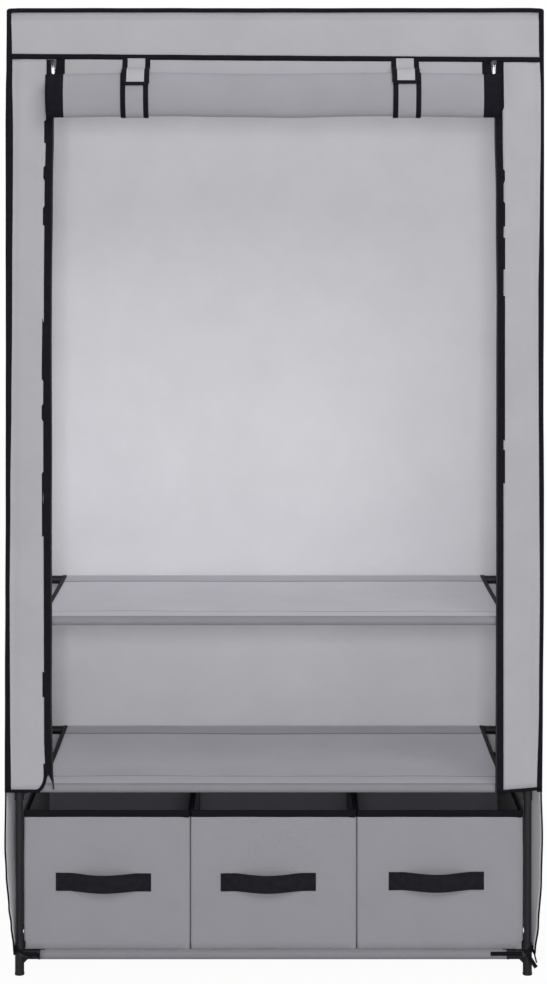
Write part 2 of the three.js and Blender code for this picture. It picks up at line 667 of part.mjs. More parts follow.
for (const [side, toX] of SIDES) {
  const x = toX * ZIP_CENTRE_X;
  place(`zip_tape_${side}`, geometryOf(zipTape(toX)), webbing, x, tapeMiddleY);
  place(`zip_slider_${side}`, geometryOf(slider()), plated, x, tapeMiddleY, SLIDER_REST_Z);
  place(`zip_pull_${side}`, geometryOf(pull()), plated, x, tapeMiddleY + pivotY,
    SLIDER_REST_Z + pivotZ);
}

// Cloth shelves: a sheet over the front and rear tubes with a sewn sleeve round each
function shelf() {
  const outer = TUBE_R + GAP + CLOTH;
  const under = outer - CLOTH;
  const inward = Math.acos(under / outer);
  const shape = new THREE.Shape();
  const sagAt = (y) => SHELF_SAG * (1 - (y / POST_Y) ** 2);
  const spots = Array.from({ length: SHELF_SAG_STEPS + 1 }, (_, i) =>
    THREE.MathUtils.lerp(-POST_Y, POST_Y, i / SHELF_SAG_STEPS));
  shape.moveTo(-POST_Y, outer);
  spots.slice(1, -1).forEach((y) => shape.lineTo(y, outer - sagAt(y)));
  shape.absarc(POST_Y, 0, outer, Math.PI / 2, inward + Math.PI / 2, true);
  spots.slice(1, -1).reverse().forEach((y) => shape.lineTo(y, under - sagAt(y)));
  shape.absarc(-POST_Y, 0, outer, Math.PI / 2 - inward, Math.PI / 2, true);
  for (const y of [-POST_Y, POST_Y]) {
    const bore = new THREE.Path();
    bore.absarc(y, 0, TUBE_R + GAP, 0, 2 * Math.PI, false);
    shape.holes.push(bore);
  }
  return pulledAlongX(shape, [-SHELF_HALF_WIDTH, SHELF_HALF_WIDTH]);
}
for (const [level, z] of LEVELS.slice(0, -1)) {
  place(`shelf_${level}`, geometryOf(solidOf(shelf())), greyCloth, 0, 0, z);
}

// Storage boxes: round-cornered cloth walls over board, a bound rim and a webbing handle
const boxFloorZ = BOTTOM_LEVEL_Z + RIM_R + GAP;
const boxHeight = BOX_TOP_Z - boxFloorZ;
const boxesHalf = POST_X - SOCKET_R - BOX_RUN;
const boxWidth = (2 * boxesHalf - 2 * BOX_SPACE) / 3;
const boxFrontY = BOX_SETBACK - POST_Y;

function roundedRect(width, depth, radius, height, z) {
  const x = width / 2 - radius;
  const y = depth / 2 - radius;
  const shape = new THREE.Shape();
  shape.absarc(x, y, radius, 0, Math.PI / 2, false);
  shape.absarc(-x, y, radius, Math.PI / 2, Math.PI, false);
  shape.absarc(-x, -y, radius, Math.PI, 1.5 * Math.PI, false);
  shape.absarc(x, -y, radius, 1.5 * Math.PI, 2 * Math.PI, false);
  const options = { depth: height, bevelEnabled: false, curveSegments: BOX_CORNER_STEPS };
  return solidOf(new THREE.ExtrudeGeometry(shape, options).translate(0, 0, z));
}

function storageBox() {
  const proud = 2 * BOX_RIM_PROUD;
  const walls = roundedRect(boxWidth, BOX_DEPTH, BOX_CORNER, boxHeight, 0);
  const rim = roundedRect(boxWidth + proud, BOX_DEPTH + proud, BOX_CORNER + BOX_RIM_PROUD,
    BOX_RIM_HEIGHT, boxHeight - BOX_RIM_HEIGHT);
  const inside = roundedRect(boxWidth - 2 * BOX_WALL, BOX_DEPTH - 2 * BOX_WALL,
    BOX_CORNER - BOX_WALL, boxHeight, BOX_WALL);
  return without(walls.add(rim), [inside]);
}

// The handle is sewn down at both ends, and its middle stands off the box and sags
function boxHandle() {
  const half = HANDLE_LENGTH / 2;
  const loose = half - HANDLE_SEWN;
  const stationX = [-half, ...Array.from({ length: HANDLE_STEPS + 1 }, (_, i) =>
    THREE.MathUtils.lerp(-loose, loose, i / HANDLE_STEPS)), half];
  const lift = (x) => (Math.abs(x) >= loose ? 0 : Math.cos(Math.PI * x / loose / 2) ** 2);
  const corners = stationX.flatMap((x) => {
    const y = -HANDLE_STAND * Math.sqrt(lift(x));
    const z = -HANDLE_SAG * lift(x);
    const low = z - HANDLE_WIDTH / 2;
    const high = z + HANDLE_WIDTH / 2;
    const front = y - HANDLE_THICKNESS;
    return [[x, front, low], [x, y, low], [x, y, high], [x, front, high]];
  });
  const faces = [0, 1, 2, 0, 2, 3].reverse();
  for (let i = 0; i < stationX.length - 1; i += 1) {
    for (let k = 0; k < 4; k += 1) {
      const a = 4 * i + k;
      const b = 4 * i + (k + 1) % 4;
      faces.push(a, b, b + 4, a, b + 4, a + 4);
    }
  }
  const last = 4 * (stationX.length - 1);
  faces.push(last, last + 1, last + 2, last, last + 2, last + 3);
  const geometry = new THREE.BufferGeometry();
  geometry.setAttribute('position', new THREE.Float32BufferAttribute(corners.flat(), 3));
  geometry.setIndex(faces);
  geometry.computeVertexNormals();
  return geometry;
}

const BOXES = [['left', -1], ['centre', 0], ['right', 1]];
for (const [name, step] of BOXES) {
  const x = step * (boxWidth + BOX_SPACE);
  place(`storage_box_${name}`, geometryOf(storageBox()), boxCloth,
    x, boxFrontY + BOX_DEPTH / 2, boxFloorZ);
  place(`box_handle_${name}`, boxHandle(), webbing, x + HANDLE_OFFSET_X, boxFrontY - GAP, HANDLE_Z);
}

// The origin is on the floor in the middle of the whole, which the rolled door makes deeper
const whole = new THREE.Box3().setFromObject(wardrobe);
wardrobe.position.y = -(whole.min.y + whole.max.y) / 2;
const assembly = new THREE.Group();
assembly.add(wardrobe);

export default assembly;
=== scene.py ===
"""A free-standing fabric wardrobe: steel tubes in moulded corners under a loose non-woven cover,
with its front door rolled up and tied, three cloth shelves and three storage boxes.
Lengths in the code are millimetres unless a comment says otherwise; meshes are made in metres.
The front faces -Y and the floor is z = 0."""

import math

import bmesh
import bpy
from bpy.props import FloatProperty, FloatVectorProperty, IntProperty, PointerProperty
from mathutils import Matrix, Vector, noise


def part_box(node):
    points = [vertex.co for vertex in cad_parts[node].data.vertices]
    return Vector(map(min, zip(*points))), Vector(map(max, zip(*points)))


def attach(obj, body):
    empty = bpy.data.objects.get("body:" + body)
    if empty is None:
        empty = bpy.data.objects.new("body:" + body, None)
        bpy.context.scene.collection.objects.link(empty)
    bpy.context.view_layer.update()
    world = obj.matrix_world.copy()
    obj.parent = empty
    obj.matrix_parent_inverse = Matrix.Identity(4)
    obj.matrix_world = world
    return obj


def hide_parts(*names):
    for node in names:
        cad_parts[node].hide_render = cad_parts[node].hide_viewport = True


bl_info = {
    "name": "Fabric Wardrobe",
    "version": (1, 0, 0),
    "blender": (4, 5, 0),
    "location": "3D View > Sidebar > Wardrobe",
    "description": "Builds the tubes, mouldings, cloth, bindings and zips of a fabric wardrobe",
    "category": "Add Mesh",
}

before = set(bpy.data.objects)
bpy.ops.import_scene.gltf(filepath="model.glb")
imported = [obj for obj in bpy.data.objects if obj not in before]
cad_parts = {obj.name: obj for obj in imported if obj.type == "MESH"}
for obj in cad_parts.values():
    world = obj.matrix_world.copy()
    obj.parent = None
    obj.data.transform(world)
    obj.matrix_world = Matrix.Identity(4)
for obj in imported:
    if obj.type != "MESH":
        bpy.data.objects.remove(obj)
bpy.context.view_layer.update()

MM = 0.001
SIDES = (("left", -1), ("right", 1))
ENDS = (("front", -1), ("rear", 1))
LEVELS = ("bottom", "lower", "upper", "top")


def span_of(node):
    """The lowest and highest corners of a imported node, in millimetres"""
    low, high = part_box(node)
    return low / MM, high / MM


def middle_of(node):
    low, high = span_of(node)
    return (low + high) / 2


# Places that the frame fixes
CAP_LOW, CAP_HIGH = span_of("cover_cap")
SIDE_X = CAP_HIGH.x
FRONT_Y, BACK_Y = CAP_LOW.y, CAP_HIGH.y
SEAM_Z, TOP_Z = CAP_LOW.z, CAP_HIGH.z
MID_Y, HALF_DEPTH = (FRONT_Y + BACK_Y) / 2, (BACK_Y - FRONT_Y) / 2
POST_X = middle_of("post_front_right").x
POST_Y = {end: middle_of(f"post_{end}_right").y for end, _ in ENDS}
LEVEL_Z = {level: middle_of(f"cross_tube_{level}_front").z for level in LEVELS}
HEM_Z = span_of("cover_back")[0].z
CLOTH_TOP_Z = SEAM_Z - 0.3
ROLL_LOW = span_of("rolled_door")[0]
UP, ACROSS, OUT_FRONT = Vector((0, 0, 1)), Vector((1, 0, 0)), Vector((0, -1, 0))
# The free edge and the foot of the front strips, and the cover's rounded front corners
STRIP_X, STRIP_FOOT_Z = 376.0, 304.0
CORNER_RADIUS, CORNER_STEPS = 4.0, 4
# Half the height of a moulding's upright barrel, its bore, and how far a cut runs past its mouth
BARREL_HALF, BORE_RADIUS, CUT_PAST = 20.0, 6.3, 5.0


def linear(code):
    """An sRGB hex colour as the linear red, green and blue that a shader takes"""
    shares = [int(code[i:i + 2], 16) / 255 for i in (0, 2, 4)]
    return tuple(s / 12.92 if s <= 0.04045 else ((s + 0.055) / 1.055) ** 2.4 for s in shares)


def length_prop(title, words, default, low, high):
    """A length that a user may change: given here in millimetres, kept in metres"""
    return FloatProperty(name=title, description=words, default=default * MM, min=low * MM,
                         max=high * MM, unit="LENGTH", subtype="DISTANCE", precision=4)


def colour_prop(title, words, code):
    return FloatVectorProperty(name=title, description=words, subtype="COLOR", size=3,
                               min=0.0, max=1.0, default=linear(code))


class WardrobeSizes(bpy.types.PropertyGroup):
    """Thicknesses, widths and the depth of folds"""

    tube_wall: length_prop("Tube wall", "Wall of the steel tube", 0.8, 0.5, 2.0)
    socket_radius: length_prop("Socket radius", "Outside of a moulded socket", 7.5, 6.8, 10.0)
    socket_reach: length_prop("Socket reach", "Length of a socket from the post", 34.0, 20.0, 60.0)
    rim_length: length_prop("Rim length", "Length of the thicker rim at a mouth", 3.0, 1.0, 8.0)
    web_reach: length_prop("Web reach", "Reach of the gussets between sockets", 21.0, 10.0, 30.0)
    cloth: length_prop("Cloth", "Thickness of the cover's cloth", 1.2, 0.4, 3.0)
    door_cloth: length_prop("Door cloth", "Thickness of the rolled door's cloth", 0.9, 0.4, 1.5)
    binding_width: length_prop("Binding width", "Width of the folded edge binding", 8.6, 4.0, 14.0)
    binding_depth: length_prop("Binding depth", "Thickness of the edge binding", 2.8, 1.0, 5.0)
    ripple: length_prop("Ripple", "Depth of the soft unevenness of hanging cloth", 1.6, 0.0, 5.0)
    lid_sag: length_prop("Lid sag", "How far the lid hangs between the tubes", 5.0, 0.0, 15.0)
    shelf_sag: length_prop("Shelf sag", "How far a shelf hangs between its tubes", 3.0, 0.0, 12.0)
    shelf_lap: length_prop("Shelf lap", "From a shelf's tube to the seam of its sleeve", 60.0,
                           15.0, 90.0)
    tape_lap: length_prop("Tape lap", "How far a zip tape reaches behind its strip", 2.5, 1.0, 6.0)
    tooth_pitch: length_prop("Coil pitch", "Spacing of the zip's coil turns", 2.6, 1.2, 5.0)
    stitch_pitch: length_prop("Stitch length", "Spacing of the stitches", 4.0, 2.0, 8.0)
    roll_turns: IntProperty(name="Roll turns", description="Turns of the rolled door",
                            default=7, min=3, max=9)


class WardrobeColours(bpy.types.PropertyGroup):
    """Finishes"""

    cover: colour_prop("Cover cloth", "Light grey non-woven of the cover", "a7a6ab")
    # Drawn lighter than the cover and put on the cover's inner faces: a painted glow of the light
    # that comes through the thin cloth from behind
    back: colour_prop("Cover inside", "Inside of the cover, which light comes through", "dadade")
    # Drawn darker than the cover: a duller inner face of the door, and painted shade on the roll's
    # underside and on the ties' lower straps
    door: colour_prop("Door inside", "The duller inner face of the door and its ties", "94939a")
    # Drawn lighter than the cover, though the same cloth: painted light on the shelves' tops
    shelf: colour_prop("Shelf cloth", "Grey non-woven of the shelves", "bab9c0")
    # Drawn darker than the shelf cloth: painted shade where the cloth wraps the black tubes, faces
    # down and lets no light through, and in the seams' creases
    sleeve: colour_prop("Shelf sleeve", "Shelf cloth drawn over the black tubes", "86858b")
    # Drawn darker than the shelf cloth: the doubled cloth, with painted shade where less light
    # comes through it
    hem: colour_prop("Shelf hem", "Doubled shelf cloth before the rear tubes", "a3a2a9")
    # Drawn darker than the cover: painted shade of the boxes standing low under the shelf above
    # them
    box: colour_prop("Box cloth", "Grey non-woven of the boxes", "939298")
    lining: colour_prop("Lining", "Charcoal non-woven inside the boxes", "707078")
    binding: colour_prop("Binding", "Black folded edge binding", "141319")
    webbing: colour_prop("Webbing", "Black handle webbing", "222126")
    tape: colour_prop("Zip tape", "Black woven zip tape", "18171d")
    coil: colour_prop("Zip coil", "Black nylon coil", "1c1c20")
    enamel: colour_prop("Enamel", "Black enamel of the tubes", "1c1b21")
    moulding: colour_prop("Moulding", "Black polypropylene of the corners", "17161b")
    zinc: colour_prop("Zinc", "Nickel-plated zinc of the pulls", "96969b")
    slider: colour_prop("Slider", "Black lacquer of the zip sliders", "26252b")
    # Drawn darker than the shelf cloth: real stitches, and a painted shadow of the step that each
    # shelf seam makes
    thread: colour_prop("Grey thread", "Sewing thread of the grey cloth", "77767d")
    floor: colour_prop("Floor", "The pale studio floor", "dcdcdc")


def size(name):
    """One of the wardrobe's sizes, in millimetres"""
    return getattr(bpy.context.scene.wardrobe_sizes, name) / MM


def colours():
    return bpy.context.scene.wardrobe_colours


# ---- materials ----

def feed(tree, node, values):
    """Gives a node's inputs their values: numbers, outputs, or nodes for their first output"""
    for name, value in values.items():
        if isinstance(value, bpy.types.Node):
            value = value.outputs[0]
        if isinstance(value, bpy.types.NodeSocket):
            tree.links.new(value, node.inputs[name])
        else:
            node.inputs[name].default_value = value
    return node


def add_node(tree, kind, values=None, **settings):
    """One shader node: settings are its own, and values go to its inputs"""
    node = tree.nodes.new("ShaderNode" + kind)
    for name, value in settings.items():
        setattr(node, name, value)
    return feed(tree, node, values or {})


def tinted(tree, colour, share, depth):
    """The colour, darker by depth where share is 0 and lighter by it where share is 1"""
    low = tuple(c * (1 - depth) for c in colour) + (1.0,)
    high = tuple(min(c * (1 + depth), 1.0) for c in colour) + (1.0,)
    return add_node(tree, "Mix", {0: share, 6: low, 7: high}, data_type="RGBA").outputs[2]


def new_material(name):
    """An empty node material and its shader"""
    material = bpy.data.materials.new(name)
    material.use_nodes = True
    tree = material.node_tree
    return material, tree, tree.nodes["Principled BSDF"]


def flat_places(tree):
    """The piece's own UV map: distances along and across the cloth in metres, and both at once"""
    flat = add_node(tree, "UVMap", uv_map="flat")
    along, across, _ = add_node(tree, "SeparateXYZ", {0: flat}).outputs
    return along, across, flat


def waves(tree, place, pitch):
    """A wave from -1 to 1 along a place in metres, once every pitch millimetres"""
    turns = add_node(tree, "Math", {0: place, 1: 2 * math.pi / (pitch * MM)}, operation="MULTIPLY")
    return add_node(tree, "Math", {0: turns}, operation="SINE")


def put_in_place(tree, share, shader, other):
    """Shows another shader instead of the material's own one, by a share"""
    mix = add_node(tree, "MixShader", {0: share, 1: shader, 2: other})
    feed(tree, tree.nodes["Material Output"], {"Surface": mix})


def nonwoven(name, colour, mottle=0.05, light_through=0.0):
    """Spun-bonded polypropylene: short random fibres pressed together by a lattice of bond points.
    It gives a dry, slightly cloudy grey with a fine pricked grain, and lets some light through."""
    material, tree, shader = new_material(name)
    along, across, flat = flat_places(tree)
    # Bond points are about 1.1 mm apart on real cloth; drawn 2.8 mm apart, so that they show
    points = add_node(tree, "Math", {0: waves(tree, along, 4.0), 1: waves(tree, across, 4.0)},
                      operation="MULTIPLY")
    pressed = add_node(tree, "MapRange", {0: points, 1: 0.35, 2: 0.85},
                       interpolation_type="SMOOTHSTEP")
    fibre = add_node(tree, "TexNoise",
                     {"Vector": flat, "Scale": 520.0, "Detail": 3.0, "Distortion": 1.2})
    cloud = add_node(tree, "TexNoise",
                     {"Vector": flat, "Scale": 9.0, "Detail": 4.0, "Roughness": 0.6})
    broad = add_node(tree, "Math", {0: cloud, 1: 0.75}, operation="MULTIPLY")
    fine = add_node(tree, "Math", {0: fibre, 1: 0.25}, operation="MULTIPLY")
    shade = add_node(tree, "Math", {0: broad, 1: fine}, operation="ADD")
    spread = add_node(tree, "MapRange", {0: shade, 1: 0.3, 2: 0.7})
    # Where the fibres are pressed flat they shine a little more
    dull = add_node(tree, "MapRange", {0: pressed, 3: 0.92, 4: 0.72})
    feed(tree, shader, {"Base Color": tinted(tree, colour, spread, mottle), "Roughness": dull,
                        "Specular IOR Level": 0.25, "Sheen Weight": 0.05, "Sheen Roughness": 0.6})
    raised = add_node(tree, "Math", {0: fibre, 1: 0.6}, operation="MULTIPLY")
    height = add_node(tree, "Math", {0: raised, 1: pressed}, operation="SUBTRACT")
    feed(tree, shader, {"Normal": add_node(tree, "Bump", {"Height": height,
                                                          "Distance": 0.12 * MM})})
    if light_through:
        # The lamps and the sky reach what hangs behind the thin cloth
        path = add_node(tree, "LightPath")
        share = add_node(tree, "Math", {0: path.outputs["Is Shadow Ray"], 1: light_through},
                         operation="MULTIPLY")
        put_in_place(tree, share, shader, add_node(tree, "BsdfTransparent"))
    return material


def woven(name, colour, rib, roughness, depth, stitched=0.0):
    """Woven tape or webbing: ribs across the strap and fine warp along it, which give a matt,
    ribbed black. Binding also has a row of stitches, stitched millimetres in from its edge."""
    material, tree, shader = new_material(name)
    along, across, flat = flat_places(tree)
    # The warp ends are about 0.6 mm apart on real tape; drawn at 1.5 mm
    weave = add_node(tree, "Math", {0: waves(tree, along, rib), 1: waves(tree, across, 1.5)},
                     operation="MULTIPLY")
    fine = add_node(tree, "Math", {0: weave, 1: 0.25}, operation="MULTIPLY")
    worn = add_node(tree, "TexNoise", {"Vector": flat, "Scale": 90.0, "Detail": 3.0})
    shade = add_node(tree, "Math", {0: fine, 1: worn}, operation="ADD")
    height = weave
    if stitched:
        off = add_node(tree, "Math", {0: across, 1: stitched * MM}, operation="SUBTRACT")
        away = add_node(tree, "Math", {0: off}, operation="ABSOLUTE")
        near = add_node(tree, "Math", {0: away, 1: 0.45 * MM}, operation="LESS_THAN")
        dash = add_node(tree, "Math", {0: waves(tree, along, 3.4), 1: -0.45},
                        operation="GREATER_THAN")
        stitch = add_node(tree, "Math", {0: near, 1: dash}, operation="MULTIPLY")
        # The stitches are drawn paler than the tape: a painted glint of the thread's sheen
        painted_glint = add_node(tree, "Math", {0: stitch, 1: 0.6}, operation="MULTIPLY")
        shade = add_node(tree, "Math", {0: shade, 1: painted_glint}, operation="ADD")
        flatter = add_node(tree, "Math", {0: weave, 1: 0.4}, operation="MULTIPLY")
        proud = add_node(tree, "Math", {0: stitch, 1: 2.0}, operation="MULTIPLY")
        height = add_node(tree, "Math", {0: flatter, 1: proud}, operation="ADD")
    spread = add_node(tree, "MapRange", {0: shade, 1: 0.2, 2: 0.8})
    feed(tree, shader, {"Base Color": tinted(tree, colour, spread, 0.3), "Roughness": roughness,
                        "Specular IOR Level": 0.05,
                        "Normal": add_node(tree, "Bump", {"Height": height,
                                                          "Distance": depth * MM})})
    return material


def hard(name, colour, coarse, tint, gloss, relief, fine=None, **more):
    """A hard surface: its tint and its roughness follow a coarse noise, its relief a fine one.
    Each noise is its scale and its detail, and gloss is the lowest and the highest roughness."""
    material, tree, shader = new_material(name)
    where = add_node(tree, "TexCoord").outputs["Object"]
    cloud, height = (add_node(tree, "TexNoise", {"Vector": where, "Scale": scale, "Detail": detail})
                     for scale, detail in (coarse, fine or coarse))
    dull = add_node(tree, "MapRange", {0: cloud, 3: gloss[0], 4: gloss[1]})
    feed(tree, shader, {"Base Color": tinted(tree, colour, cloud, tint), "Roughness": dull,
                        "Normal": add_node(tree, "Bump", {"Height": height,
                                                          "Distance": relief * MM}), **more})
    return material


def enamel(name, colour):
    """Powder enamel on steel: black, half gloss, with the faint peel of baked powder"""
    return hard(name, colour, (40.0, 4.0), 0.12, (0.28, 0.42), 0.05, (700.0, 2.0),
                **{"Specular IOR Level": 0.28})


def moulded(name, colour):
    """Injection-moulded polypropylene: a fine spark-eroded grain and a soft, waxy gloss"""
    return hard(name, colour, (60.0, 3.0), 0.15, (0.38, 0.52), 0.04, (1400.0, 2.0),
                **{"Specular IOR Level": 0.3})


def plated(name, colour):
    """Nickel plate on a zinc die casting: bright, with small scuffs from handling"""
    return hard(name, colour, (900.0, 5.0), 0.08, (0.16, 0.4), 0.02, Metallic=1.0)


# Each finish has the colour of the same name: its maker, its material's name, and for nonwoven
# its mottling and the light it lets through, or for woven its rib in millimetres, its roughness,
# its relief in millimetres and how far in from the edge it is stitched
FINISHES = {
    "cover": (nonwoven, "cover_nonwoven", 0.05, 0.65),
    # The inside of the cover: a painted glow of light coming through the cloth from behind
    "back": (nonwoven, "back_nonwoven", 0.035, 0.65),
    # The door's inner face: darker, with painted shade on the roll and the lower straps
    "door": (nonwoven, "door_inside_nonwoven", 0.05, 0.65),
    # Lighter than the cover: painted light on the shelf tops
    "shelf": (nonwoven, "shelf_nonwoven", 0.05, 0.5),
    # Painted shade over the tubes and in the seams
    "sleeve": (nonwoven, "shelf_sleeve_nonwoven", 0.05),
    # Doubled cloth with painted shade
    "hem": (nonwoven, "shelf_hem_nonwoven", 0.05),
    # Darker than the cover: painted shade on the boxes
    "box": (nonwoven, "box_nonwoven", 0.04),
    "lining": (nonwoven, "charcoal_lining", 0.08),
    "binding": (woven, "binding_tape", 1.6, 0.7, 0.1, 2.2),
    "webbing": (woven, "handle_webbing", 2.4, 0.75, 0.25),
    "tape": (woven, "zip_tape_weave", 1.8, 0.8, 0.12),
    "coil": (moulded, "nylon_coil"),
    "enamel": (enamel, "black_enamel"),
    "moulding": (moulded, "moulded_corner"),
    "zinc": (plated, "nickel_plate"),
    "slider": (enamel, "black_lacquer"),
    # Real stitches, drawn dark as a painted shadow of the seam's step
    "thread": (woven, "grey_thread", 1.0, 0.8, 0.05),
}
MATERIALS = {}


def material_of(name):
    """The finish with that name, made when it is first asked for"""
    if name not in MATERIALS:
        maker, title, *values = FINISHES[name]
        MATERIALS[name] = maker(title, tuple(getattr(colours(), name)), *values)
    return MATERIALS[name]


# ---- making pieces ----

def deselect():
    if bpy.context.object is not None and bpy.context.object.mode != "OBJECT":
        bpy.ops.object.mode_set(mode="OBJECT")
    bpy.ops.object.select_all(action="DESELECT")


def take(piece):
    """Makes one piece the only selected and active one"""
    deselect()
    piece.select_set(True)
    bpy.context.view_layer.objects.active = piece


def edit(piece, test, kind="FACE"):
    """Opens a piece in edit mode with the faces or edges that pass a test selected"""
    take(piece)
    bpy.ops.object.mode_set(mode="EDIT")
    bpy.ops.mesh.select_mode(type=kind)
    bpy.ops.mesh.select_all(action="DESELECT")
    work = bmesh.from_edit_mesh(piece.data)
    for item in (work.faces if kind == "FACE" else work.edges):
        item.select_set(test(item))
    work.select_flush_mode()
    bmesh.update_edit_mesh(piece.data)


def close_edit():
    bpy.ops.object.mode_set(mode="OBJECT")


def modify(piece, kind, **settings):
    """Adds a modifier to a piece, sets it and applies it"""
    take(piece)
    bpy.ops.object.modifier_add(type=kind)
    modifier = piece.modifiers[-1]
    for name, value in settings.items():
        setattr(modifier, name, value)
    bpy.ops.object.modifier_apply(modifier=modifier.name)


def settle(piece, name, finishes, body, replaced=(), smooth=None):
    """Names a piece, puts its place in its mesh, gives it its finish and hangs it on its body"""
    take(piece)
    bpy.ops.object.transform_apply()
    piece.name = name
    piece.data.name = name
    if smooth is not None:
        bpy.ops.object.shade_smooth_by_angle(angle=math.radians(smooth))
    for finish in [finishes] if isinstance(finishes, str) else finishes:
        piece.data.materials.append(material_of(finish))
    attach(piece, body)
    if replaced:
        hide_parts(*replaced)
    return piece


def copy_at(piece, offset, mirror=(1, 1, 1)):
    """A copy of a piece with a mesh of its own, mirrored about its origin and then moved"""
    copy = piece.copy()
    copy.data = piece.data.copy()
    bpy.context.scene.collection.objects.link(copy)
    copy.data.transform(Matrix.Translation(Vector(offset) * MM) @ Matrix.Diagonal((*mirror, 1)))
    if mirror[0] * mirror[1] * mirror[2] < 0:
        copy.data.flip_normals()
    return copy


def remove(piece):
    bpy.data.objects.remove(piece)


AXIS_TURN = {"x": (0, math.pi / 2, 0), "y": (-math.pi / 2, 0, 0), "z": (0, 0, 0)}


def turned(axis, stations):
    """A round bar along an axis: its radius changes from one station to the next"""
    (start, low), (end, high) = stations[:2]
    deselect()
    bpy.ops.mesh.primitive_cone_add(vertices=32, radius1=low * MM, radius2=high * MM,
                                    depth=(end - start) * MM,
                                    location=(0, 0, (start + end) / 2 * MM))
    bar = bpy.context.object
    bpy.ops.object.transform_apply()
    edit(bar, lambda face: len(face.verts) > 4 and face.normal.z > 0.9)
    for place, radius in stations[2:]:
        bpy.ops.mesh.extrude_region_move(
            TRANSFORM_OT_translate={"value": (0, 0, (place - end) * MM)})
        grow = radius / high
        bpy.ops.transform.resize(value=(grow, grow, 1), center_override=(0, 0, place * MM))
        end, high = place, radius
    close_edit()
    bar.rotation_euler = AXIS_TURN[axis]
    take(bar)
    bpy.ops.object.transform_apply()
    return bar


def eased(start, end, radius):
    """Stations of a plain bar with eased ends"""
    ease = 0.4
    return [(start, radius - ease), (start + ease, radius), (end - ease, radius),
            (end, radius - ease)]


def combine(whole, part, operation="UNION"):
    """Joins a part to a whole, or cuts it out, and removes the part"""
    modify(whole, "BOOLEAN", object=part, operation=operation, solver="EXACT")
    remove(part)
    return whole


def distances(points, closed=False):
    """How far along a line of places each one lies, in metres"""
    far = [0.0]
    ring = [*points, points[0]] if closed else points
    for before, after in zip(ring, ring[1:]):
        far.append(far[-1] + (after - before).length * MM)
    return far


def mesh_piece(name, places, faces, flats=(), kinds=None, smooth=True):
    """A piece from its places in millimetres and its faces; flats is its UV map, in metres"""
    mesh = bpy.data.meshes.new(name)
    mesh.from_pydata([place * MM for place in places], [], faces)
    flat = mesh.uv_layers.new(name="flat")
    for corner, place in zip(flat.data, flats):
        corner.uv = place
    if kinds:
        mesh.polygons.foreach_set("material_index", kinds)
    mesh.polygons.foreach_set("use_smooth", [smooth] * len(faces))
    mesh.update()
    piece = bpy.data.objects.new(name, mesh)
    bpy.context.scene.collection.objects.link(piece)
    return piece


def face_outwards(piece):
    edit(piece, lambda face: True)
    bpy.ops.mesh.normals_make_consistent(inside=False)
    close_edit()
    return piece


def end_faces(count, rings):
    """The faces that close the first and the last of a piece's rings, each of count places"""
    last = (rings - 1) * count
    return [tuple(range(count))[::-1], tuple(range(last, last + count))]


def between_rows(rows, closed=False, keep=None):
    """The faces between rows of places, their corners' distances along the cloth in metres, and
    the place in its row and the row that each face starts from"""
    count = len(rows[0])
    along = [distances(row, closed) for row in rows]
    across = list(zip(*[distances(column) for column in zip(*rows)]))
    starts = [(i, j) for j in range(len(rows) - 1) for i in range(count if closed else count - 1)
              if keep is None or keep(i, j)]
    faces, flats = [], []
    for i, j in starts:
        k = (i + 1) % count
        faces.append((j * count + i, j * count + k, (j + 1) * count + k, (j + 1) * count + i))
        flats.extend([(along[j][i], across[j][i]), (along[j][i + 1], across[j][k]),
                      (along[j + 1][i + 1], across[j + 1][k]), (along[j + 1][i], across[j + 1][i])])
    return faces, flats, starts


def cloth(name, rows, thickness, closed=False, offset=-1.0, keep=None, finish_at=None, inner=0):
    """A sheet of cloth from rows of places. Its inner face has the finish that stands inner
    places after its outer one"""
    faces, flats, starts = between_rows(rows, closed, keep)
    kinds = [finish_at(i, j) if finish_at else 0 for i, j in starts]
    used = sorted({corner for face in faces for corner in face})
    number = {corner: n for n, corner in enumerate(used)}
    every = [place for row in rows for place in row]
    piece = mesh_piece(name, [every[corner] for corner in used],
                       [tuple(number[corner] for corner in face) for face in faces], flats, kinds)
    for _ in range(1 + inner + max(kinds)):
        piece.data.materials.append(None)
    modify(piece, "SOLIDIFY", thickness=thickness * MM, offset=offset, use_even_offset=True,
           material_offset=inner)
    kinds = [face.material_index for face in piece.data.polygons]
    piece.data.materials.clear()
    piece.data.polygons.foreach_set("material_index", kinds)
    return piece


PROFILE_STEPS = 12


def ribbon(name, stations, width, depth, closed=False, squareness=0.55):
    """A rounded flat strip carried along stations, each a place, its way across and its way out"""
    rings = []
    for place, across, out in stations:
        ring = []
        for angle in steps(0, 2 * math.pi, PROFILE_STEPS)[:-1]:
            c, s = math.cos(angle), math.sin(angle)
            ring.append(place + across * (width / 2 * math.copysign(abs(c) ** squareness, c))
                        + out * (depth / 2 * math.copysign(abs(s) ** squareness, s)))
        rings.append(ring)
    far = distances([station[0] for station in stations], closed)
    round_it = distances(rings[0], True)
    faces, flats = [], []
    count = len(rings)
    for j in range(count if closed else count - 1):
        n = (j + 1) % count
        for k in range(PROFILE_STEPS):
            m = (k + 1) % PROFILE_STEPS
            faces.append((j * PROFILE_STEPS + k, j * PROFILE_STEPS + m,
                          n * PROFILE_STEPS + m, n * PROFILE_STEPS + k))
            flats.extend([(far[j], round_it[k]), (far[j], round_it[k + 1]),
                          (far[j + 1], round_it[k + 1]), (far[j + 1], round_it[k])])
    if not closed:
        faces += end_faces(PROFILE_STEPS, count)
        flats += [(0.0, 0.0)] * (2 * PROFILE_STEPS)
    places = [place for ring in rings for place in ring]
    return face_outwards(mesh_piece(name, places, faces, flats))


